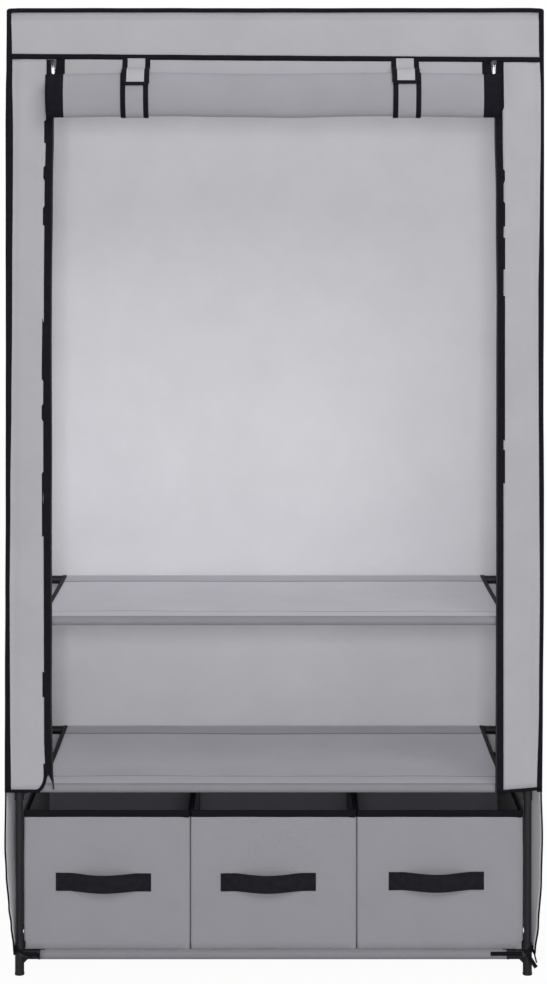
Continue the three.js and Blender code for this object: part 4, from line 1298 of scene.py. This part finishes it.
class WARDROBE_OT_door_ties(bpy.types.Operator):
    """Two ties: grey straps with bound edges, closed on each other in front of the roll"""

    bl_idname = "wardrobe.door_ties"
    bl_label = "Door ties"

    def execute(self, context):
        edge_width = size("binding_width")
        # Where each tie's front strap ends, as a share of a turn, and how far aside the other hangs
        for side, end, aside in (("left", -0.435, -1.6), ("right", -0.424, 1.8)):
            upper, lower = tie_lines(end)
            node = f"door_tie_{side}"
            low, high = span_of(node)
            middle, width = (low.x + high.x) / 2, high.x - low.x
            inner = width - edge_width
            straps, edges = [], []
            # The lower strap has the darker door finish: painted shade where it comes round under
            # the roll
            for line, shift, finish in ((upper, 0.0, "cover"), (lower, aside, "door")):
                strap = cloth("strap", strap_rows(line, middle + shift, inner + 1), 1.1,
                              offset=0.0)
                strap.data.materials.append(material_of(finish))
                straps.append(strap)
                for at in (-inner / 2, inner / 2):
                    stations = strap_stations(line, middle + shift + at)
                    edges.append(ribbon("edge", stations, edge_width, 2.0))
            y, z = upper[-1]
            _, across, out = strap_stations(upper, middle)[-1]
            down = across.cross(out)
            bar = [(Vector((middle + u * width * 0.46, y, z)), down, out) for u in steps(-1, 1, 8)]
            edges.append(ribbon("bar", bar, 6.2, 2.3))
            strap = joined(f"tie_straps_{side}", straps)
            settle(strap, f"tie_straps_{side}", (), "wardrobe", [node])
            binding = joined(f"tie_binding_{side}", edges)
            settle(binding, f"tie_binding_{side}", "binding", "wardrobe")
            both = distances([Vector((0, y, z)) for y, z in upper])[-1]
            both += distances([Vector((0, y, z)) for y, z in lower])[-1]
        return {"FINISHED"}


# ---- zips ----

# The width and depth of a zip's coil, and its place in from the tape's edge
COIL_WIDTH, COIL_DEPTH, COIL_IN = 2.7, 2.3, 1.2


def tape_edge(side, z):
    """Where the free edge of a zip tape hangs; the left one is worn near its end"""
    worn = within((415 - z) / 85) if side < 0 else 0.0
    frayed = 0.7 * worn * noise.noise(Vector((z / 4.0, 5.0, 1.0)))
    return knotted(TAPE_EDGE[side], z) + 0.4 * uneven(z, 0, 51 + side, 130) + frayed


class WARDROBE_OT_zip_tapes(bpy.types.Operator):
    """The zip tape on each front strip's edge, with its half of the nylon coil"""

    bl_idname = "wardrobe.zip_tapes"
    bl_label = "Zip tapes"

    def execute(self, context):
        lap = size("tape_lap")
        for side, to_x in SIDES:
            node = f"zip_tape_{side}"
            low, high = span_of(node)
            foot = low.z + (4 if to_x > 0 else 12)
            middle_y = (low.y + high.y) / 2
            rows = []
            for z in steps(foot, high.z, 150):
                edge = tape_edge(to_x, z)
                sewn = knotted(STRIP_EDGE[to_x], z) + lap
                if to_x < 0:
                    sewn = min(sewn, 360.3 + max(z - 318, 0) * 0.5)
                row = [Vector((to_x * (edge + (sewn - edge) * t),
                               middle_y + 0.3 * uneven(z, t * 20, 57 + to_x, 40), z))
                       for t in steps(0, 1, 6)]
                rows.append(row if to_x > 0 else row[::-1])
            tape = cloth(f"zip_tape_cloth_{side}", rows, 0.9, offset=0.0)
            settle(tape, f"zip_tape_cloth_{side}", "tape", "wardrobe", [node])
            pitch = size("tooth_pitch")
            stations = []
            count = int((high.z - foot) / pitch)
            for i in range(count * 3 + 1):
                z = foot + i * pitch / 3
                x = to_x * (tape_edge(to_x, z) + COIL_IN)
                stations.append((Vector((x, middle_y - 0.2, z)), ACROSS, OUT_FRONT))
            coil = ribbon("coil", stations, COIL_WIDTH, COIL_DEPTH, squareness=0.9)
            # Every third place is the hollow between two turns
            for v in coil.data.vertices:
                place = v.index // PROFILE_STEPS
                if place % 3 == 0:
                    v.co = (stations[place][0] * MM).lerp(v.co, 0.62)
            settle(coil, f"zip_coil_{side}", "coil", "wardrobe")
        return {"FINISHED"}


def rounded_copy(node, rounding):
    """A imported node's own shape with its facets merged and its edges rounded"""
    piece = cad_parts[node].copy()
    piece.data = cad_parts[node].data.copy()
    for key in list(piece.keys()):
        del piece[key]
    piece.parent = None
    piece.data.materials.clear()
    bpy.context.scene.collection.objects.link(piece)
    edit(piece, lambda face: True)
    bpy.ops.mesh.remove_doubles(threshold=0.01 * MM)
    bpy.ops.mesh.dissolve_limited(angle_limit=math.radians(2))
    close_edit()
    modify(piece, "BEVEL", width=rounding * MM, segments=2, limit_method="ANGLE",
           angle_limit=math.radians(40), harden_normals=False)
    return piece


class WARDROBE_OT_zip_sliders(bpy.types.Operator):
    """The zip sliders and the pulls that hang on their crowns"""

    bl_idname = "wardrobe.zip_sliders"
    bl_label = "Zip sliders"

    def execute(self, context):
        for side, _ in SIDES:
            for part, body in (("slider", f"slider_{side}"), ("pull", f"pull_{side}")):
                node = f"zip_{part}_{side}"
                piece = rounded_copy(node, 0.18)
                finish = "slider" if part == "slider" else "zinc"
                settle(piece, f"zip_{part}_{side}_cast", finish, body, [node], 40)
        return {"FINISHED"}


# ---- shelves ----

# The sleeve's cloth round a tube, and half the width of each shelf
SLEEVE_RADIUS = 6.9
SHELF_HALF = {"bottom": 381.7, "lower": 381.2, "upper": 382.0}


def shelf_height(level, x, y):
    """The middle of the shelf's cloth: it sags between its tubes and is puckered at its seams"""
    front, rear = POST_Y["front"], POST_Y["rear"]
    share = within((y - front) / (rear - front))
    sag = size("shelf_sag") * arch(share) ** 0.8
    free = min(share, 1 - share) * 8
    dip = size("ripple") * 0.8 * uneven(x, y, 61 + LEVELS.index(level), 110) * min(free, 1)
    lap = size("shelf_lap")
    pucker = sum(bell(y - seam, 2.2) for seam in (front + lap, rear - lap))
    return LEVEL_Z[level] + SLEEVE_RADIUS - sag + dip - 1.3 * pucker


def shelf_rows(level):
    """Rows from the front seam under the shelf, round the front tube, over the bay, round the
    rear tube and back to the rear seam; and each row's finish: 0 single cloth, 1 drawn over a
    tube or gathered in a seam, darker as painted shade, 2 double cloth in front of the rear tube,
    darker as painted shade where less light comes through"""
    front, rear, lap = POST_Y["front"], POST_Y["rear"], size("shelf_lap")
    half, z0 = SHELF_HALF[level], LEVEL_Z[level]
    across = steps(-half, half, 64)
    finely = [lap + step for step in (-6, -4, -2.5, -1.2, 0, 1.2, 2.5, 4, 6)]

    def under(y):
        return [Vector((x, y, shelf_height(level, x, y) - 1.5)) for x in across]

    def round_tube(y0, start, end):
        return [[Vector((x, y0 + SLEEVE_RADIUS * math.cos(math.radians(a)),
                         z0 + SLEEVE_RADIUS * math.sin(math.radians(a)))) for x in across]
                for a in steps(start, end, 26)]

    flap = [lap, lap - 1.2, lap - 2.5, lap - 4, lap - 6] + steps(lap - 10, 11, 5)
    bay = sorted(steps(front + 4, rear - 4, 40) + [front + step for step in finely]
                 + [rear - step for step in finely])
    rows = [under(front + step) for step in flap]
    kinds = [0] * len(rows) + [1] * 26 + [0]
    rows += round_tube(front, 28, -270)
    for y in bay:
        rows.append([Vector((x, y, shelf_height(level, x, y))) for x in across])
        # Rows gathered in a seam get the darker sleeve finish, painted shade in the crease; doubled
        # rows before the rear tube get the hem finish, painted shade
        seam_shaded = -6.5 < y - (rear - lap) < 3.9 or -1.3 < y - (front + lap) < 2.4
        kinds.append(1 if seam_shaded else 2 if y > rear - lap else 0)
    rows += round_tube(rear, 90, -208)
    rows += [under(rear - step) for step in reversed(flap)]
    return rows, kinds + [1] * 26 + [0] * (len(flap) + 1)


class WARDROBE_OT_shelves(bpy.types.Operator):
    """Three cloth shelves sleeved over a front and a rear tube, their side edges bound"""

    bl_idname = "wardrobe.shelves"
    bl_label = "Shelves"

    def execute(self, context):
        for level in LEVELS[:-1]:
            half = SHELF_HALF[level]
            rows, kinds = shelf_rows(level)
            shelf = cloth(f"shelf_cloth_{level}", rows, size("cloth"), offset=0.0,
                          finish_at=lambda i, j, kinds=kinds: kinds[j])
            # The sleeve and hem finishes are darker copies of the shelf cloth: painted shade over
            # the tubes, in the seams and on the doubled cloth
            settle(shelf, f"shelf_cloth_{level}", ["shelf", "sleeve", "hem"], "wardrobe",
                   [f"shelf_{level}"])
            edges = []
            for _, to_x in SIDES:
                x = to_x * (half - 2.9)
                stations = [(Vector((x, y, shelf_height(level, x, y) + 0.5)), ACROSS, UP)
                            for y in steps(POST_Y["front"] + 2, POST_Y["rear"] - 2, 60)]
                edges.append(ribbon("edge", stations, 7.4, 3.2))
            binding = joined(f"shelf_binding_{level}", edges)
            settle(binding, f"shelf_binding_{level}", "binding", "wardrobe")
            lines = []
            for end, to_y in ENDS:
                y = POST_Y[end] - to_y * size("shelf_lap")
                lines.append(([Vector((x, y, shelf_height(level, x, y) + 0.6))
                               for x in steps(-half + 9, half - 9, 60)], UP))
            # The grey thread is drawn darker than the shelf: real stitches, and a painted shadow of
            # the seam's step
            sewn = stitches(f"shelf_stitches_{level}", lines)
            settle(sewn, f"shelf_stitches_{level}", "thread", "wardrobe")
            length = distances([row[len(row) // 2] for row in rows])[-1]
        return {"FINISHED"}


# ---- storage boxes ----

def box_rows(half_x, half_y, height, centre, seed, swell):
    """Rows up the outside of a box, over its rim, down its lining and in over its floor. The
    side that swell points to stands out by that much, but stays in beside the leg's socket"""
    wall, corner = 3.0, 4.0

    def loop(inset, radius, z, puff=0.0):
        row = []
        for place, out in round_outline(half_x - inset, half_y - inset, max(radius, 0.6), 0.0,
                                        5, 44, 30):
            flat = 1 - (abs(place.x) / half_x) ** 6 if abs(out.y) > 0.9 else (
                1 - (abs(place.y) / half_y) ** 6 if abs(out.x) > 0.9 else 0)
            bulge = puff * flat * (0.5 + 0.8 * uneven(place.x + place.y, z, seed, 80))
            if puff and out.y < -0.9:
                bulge -= 0.16 * max(place.x - (half_x - 11), 0)
            stand = swell * knotted(((12.4, -1.8), (14.5, 1.0), (150, 1.0), (200, 0.0)), z)
            stand *= (place.x / half_x) ** 4 if puff and place.x * swell > 0 else 0
            row.append(place + out * bulge + Vector((stand, 0, z)) + centre)
        return row

    rows = [loop(min(half_x, half_y) * 0.98, 0.6, 0.0), loop(8, corner - 1, 0.0),
            loop(1.0, corner - 1, 0.0), loop(0.2, corner, 0.9, 0.02),
            loop(0.0, corner, 12.2, 0.14)]
    for share in steps(0, 1, 16)[1:]:
        z = 0.9 + (height - 3) * share
        rows.append(loop(0.0, corner, z, 0.9 * arch(share)))
    outside = len(rows)
    rows += [loop(wall, corner - wall, height - 2)]
    for share in steps(0, 1, 10)[1:]:
        z = height - 2 - (height - 2 - wall - 1) * share
        rows.append(loop(wall, corner - wall, z, 0.6 * arch(share)))
    rows += [loop(wall + 1.5, corner - wall, wall), loop(wall + 12, corner - wall, wall),
             loop(min(half_x, half_y) * 0.98, 0.6, wall)]
    return rows, outside


class WARDROBE_OT_storage_boxes(bpy.types.Operator):
    """Three storage boxes: grey cloth over board, a charcoal lining and a bound rim"""

    bl_idname = "wardrobe.storage_boxes"
    bl_label = "Storage boxes"

    def execute(self, context):
        for number, place in enumerate(("left", "centre", "right")):
            node = f"storage_box_{place}"
            low, high = span_of(node)
            centre = Vector(((low.x + high.x) / 2, (low.y + high.y) / 2, low.z))
            board_in = 0.7
            half_x, half_y = (high.x - low.x) / 2, (high.y - low.y) / 2 - board_in
            height = high.z - low.z
            # The outer boxes' cloth all but touches the posts
            swell = 0.7 * (number - 1)
            rows, outside = box_rows(half_x, half_y, height, centre, 71 + number, swell)
            count = len(rows[0])
            faces, flats, starts = between_rows(rows, closed=True)
            kinds = [0 if j < outside else 1 for _, j in starts] + [0, 1]
            faces += end_faces(count, len(rows))
            flats += [(0.0, 0.0)] * (2 * count)
            box = mesh_piece(node, [place for row in rows for place in row], faces, flats, kinds,
                             smooth=False)
            # The box cloth is drawn darker than the cover, painted shade of the boxes under the
            # shelf
            settle(box, f"cloth_box_{place}", ["box", "lining"], f"box_{place}",
                   [node], 50)
            rim = [(where + centre + UP * (height - 6.2 + 0.25 * uneven(where.x, where.y, 81, 40))
                    - out * 1.9, UP, out)
                   for where, out in round_outline(half_x, half_y, 4.0, 0.0, 5, 22, 30)]
            binding = ribbon("rim", rim, 12.2, 4.4, closed=True, squareness=0.4)
            settle(binding, f"box_rim_{place}", "binding", f"box_{place}")
        return {"FINISHED"}


# Each handle's shift aside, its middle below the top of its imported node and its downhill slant;
# then half its width, how far its middle stands off, and half the height of its sewn boxes
HANDLE_ASIDE, HANDLE_DOWN, HANDLE_SLANT = (2.3, -0.5, 2.0), (18.4, 18.4, 16.6), (0.6, -0.36, -0.36)
HANDLE_HALF_WIDTH, HANDLE_STAND, SEWN_HALF = 14.8, 11.5, 12


class WARDROBE_OT_box_handles(bpy.types.Operator):
    """A webbing handle on each box, sewn down at its ends and standing off in the middle"""

    bl_idname = "wardrobe.box_handles"
    bl_label = "Box handles"

    def execute(self, context):
        for number, place in enumerate(("left", "centre", "right")):
            node = f"box_handle_{place}"
            low, high = span_of(node)
            middle = (low.x + high.x) / 2 + HANDLE_ASIDE[number]
            half = (high.x - low.x) / 2 + 0.5
            loose = half - 2 * SEWN_HALF
            front = high.y - 1.1
            level = high.z - HANDLE_DOWN[number]
            rows = []
            for v in steps(-1, 1, 8):
                row = []
                for u in steps(-1, 1, 62):
                    x = u * half
                    lift = 0.0 if abs(x) >= loose else math.cos(math.pi * x / loose / 2) ** 2
                    y = front - HANDLE_STAND * math.sqrt(lift) * (1 + 0.05 * v)
                    z = level + v * HANDLE_HALF_WIDTH - 1.5 * lift - HANDLE_SLANT[number] * u
                    row.append(Vector((middle + x, y, z + 0.25 * uneven(x, v, 91 + number, 25))))
                rows.append(row)
            handle = cloth(node, rows, 1.8, offset=0.0)
            modify(handle, "BEVEL", width=0.5 * MM, segments=2, limit_method="ANGLE",
                   angle_limit=math.radians(60))
            settle(handle, f"webbing_handle_{place}", "webbing", f"box_{place}",
                   [node], 50)
            # Each end is sewn down round a box and along its two diagonals
            lines = []
            for to_x in (-1, 1):
                x0, x1 = middle + to_x * (half - 3), middle + to_x * (loose + 3)
                box = [(x0, -1), (x1, -1), (x1, 1), (x0, 1), (x0, -1), (x1, 1)]
                for run in (box, [(x0, 1), (x1, -1)]):
                    sewn_at = [Vector((x, front - 0.95, level + z * SEWN_HALF)) for x, z in run]
                    lines.extend((pair, OUT_FRONT) for pair in zip(sewn_at, sewn_at[1:]))
            sewn = stitches(f"handle_stitches_{place}", lines, 0.4)
            settle(sewn, f"handle_stitches_{place}", "binding", f"box_{place}")
        return {"FINISHED"}


# ---- studio ----

class WARDROBE_OT_stage(bpy.types.Operator):
    """A pale floor, a white surround, soft lamps and the camera of the front view"""

    bl_idname = "wardrobe.stage"
    bl_label = "Studio"

    def execute(self, context):
        scene = context.scene
        scene.view_settings.view_transform = "Standard"
        deselect()
        bpy.ops.mesh.primitive_plane_add(size=14.0, location=(0, 3.0, 0))
        floor = context.object
        floor.name = "studio_floor"
        material, tree, shader = new_material("studio_floor")
        feed(tree, shader, {"Base Color": (*colours().floor, 1.0), "Roughness": 0.9})
        # The floor is mostly drawn white for the camera and keeps part of the cast shadow
        path = add_node(tree, "LightPath")
        seen = add_node(tree, "Math", {0: path.outputs["Is Camera Ray"], 1: 0.965},
                        operation="MULTIPLY")
        white = add_node(tree, "Emission", {"Color": (1, 1, 1, 1), "Strength": 1.0})
        put_in_place(tree, seen, shader, white)
        floor.data.materials.append(material)

        world = bpy.data.worlds.new("studio")
        scene.world = world
        world.use_nodes = True
        tree = world.node_tree
        path = add_node(tree, "LightPath")
        bounced = add_node(tree, "Math", {0: path.outputs["Is Glossy Ray"],
                                          1: path.outputs["Is Transmission Ray"]},
                           operation="MAXIMUM")
        direct = add_node(tree, "Math", {0: path.outputs["Is Camera Ray"], 1: bounced},
                          operation="MAXIMUM")
        strength = add_node(tree, "MapRange", {0: direct, 3: 0.165, 4: 1.0})
        feed(tree, tree.nodes["Background"], {"Color": (1, 1, 1, 1), "Strength": strength})

        for name, place, aim, wide, power in (
                ("key_lamp", (0.9, -3.2, 3.3), (0, 0, 0.9), 2.2, 68.0),
                ("front_lamp", (0.0, -4.25, 1.25), (0, 0, 0.75), 0.6, 66.0),
                ("top_lamp", (0.0, 0.0, 4.2), (0, 0, 0.8), 2.4, 36.0),
                ("rear_lamp", (0.0, 3.4, 2.6), (0, 0, 0.9), 2.4, 79.0)):
            deselect()
            bpy.ops.object.light_add(type="AREA", location=place)
            lamp = context.object
            lamp.name = name
            lamp.data.size = wide
            lamp.data.energy = power
            way = Vector(aim) - Vector(place)
            lamp.rotation_euler = way.to_track_quat("-Z", "Y").to_euler()

        deselect()
        bpy.ops.object.camera_add(location=(0.0, -4.251, 1.2363))
        camera = context.object
        camera.rotation_euler = (math.pi / 2 - math.radians(1.177), 0, 0)
        camera.data.sensor_width = 36.0
        camera.data.lens = 90.79
        camera.data.shift_y = -0.2247
        camera.data.clip_end = 50.0
        scene.camera = camera
        return {"FINISHED"}


OPERATORS = (
    WARDROBE_OT_steel_tubes, WARDROBE_OT_connectors, WARDROBE_OT_hanging_rail, WARDROBE_OT_lid,
    WARDROBE_OT_side_panels, WARDROBE_OT_back_panel, WARDROBE_OT_bindings,
    WARDROBE_OT_rolled_door, WARDROBE_OT_door_ties, WARDROBE_OT_zip_tapes,
    WARDROBE_OT_zip_sliders, WARDROBE_OT_shelves, WARDROBE_OT_storage_boxes,
    WARDROBE_OT_box_handles, WARDROBE_OT_stage,
)


class VIEW3D_PT_wardrobe(bpy.types.Panel):
    """Sizes, colours and pieces of the wardrobe"""

    bl_idname = "VIEW3D_PT_wardrobe"
    bl_label = "Fabric Wardrobe"
    bl_space_type = "VIEW_3D"
    bl_region_type = "UI"
    bl_category = "Wardrobe"

    def draw(self, context):
        layout = self.layout
        for operator in OPERATORS:
            layout.operator(operator.bl_idname)
        for group in (context.scene.wardrobe_sizes, context.scene.wardrobe_colours):
            for name in group.__annotations__:
                layout.prop(group, name)


CLASSES = (WardrobeSizes, WardrobeColours, *OPERATORS, VIEW3D_PT_wardrobe)


def register():
    for cls in CLASSES:
        bpy.utils.register_class(cls)
    bpy.types.Scene.wardrobe_sizes = PointerProperty(type=WardrobeSizes)
    bpy.types.Scene.wardrobe_colours = PointerProperty(type=WardrobeColours)


def unregister():
    del bpy.types.Scene.wardrobe_colours
    del bpy.types.Scene.wardrobe_sizes
    for cls in reversed(CLASSES):
        bpy.utils.unregister_class(cls)


def main():
    register()
    for operator in OPERATORS:
        group, name = operator.bl_idname.split(".")
        getattr(getattr(bpy.ops, group), name)()


if __name__ == "__main__":
    main()
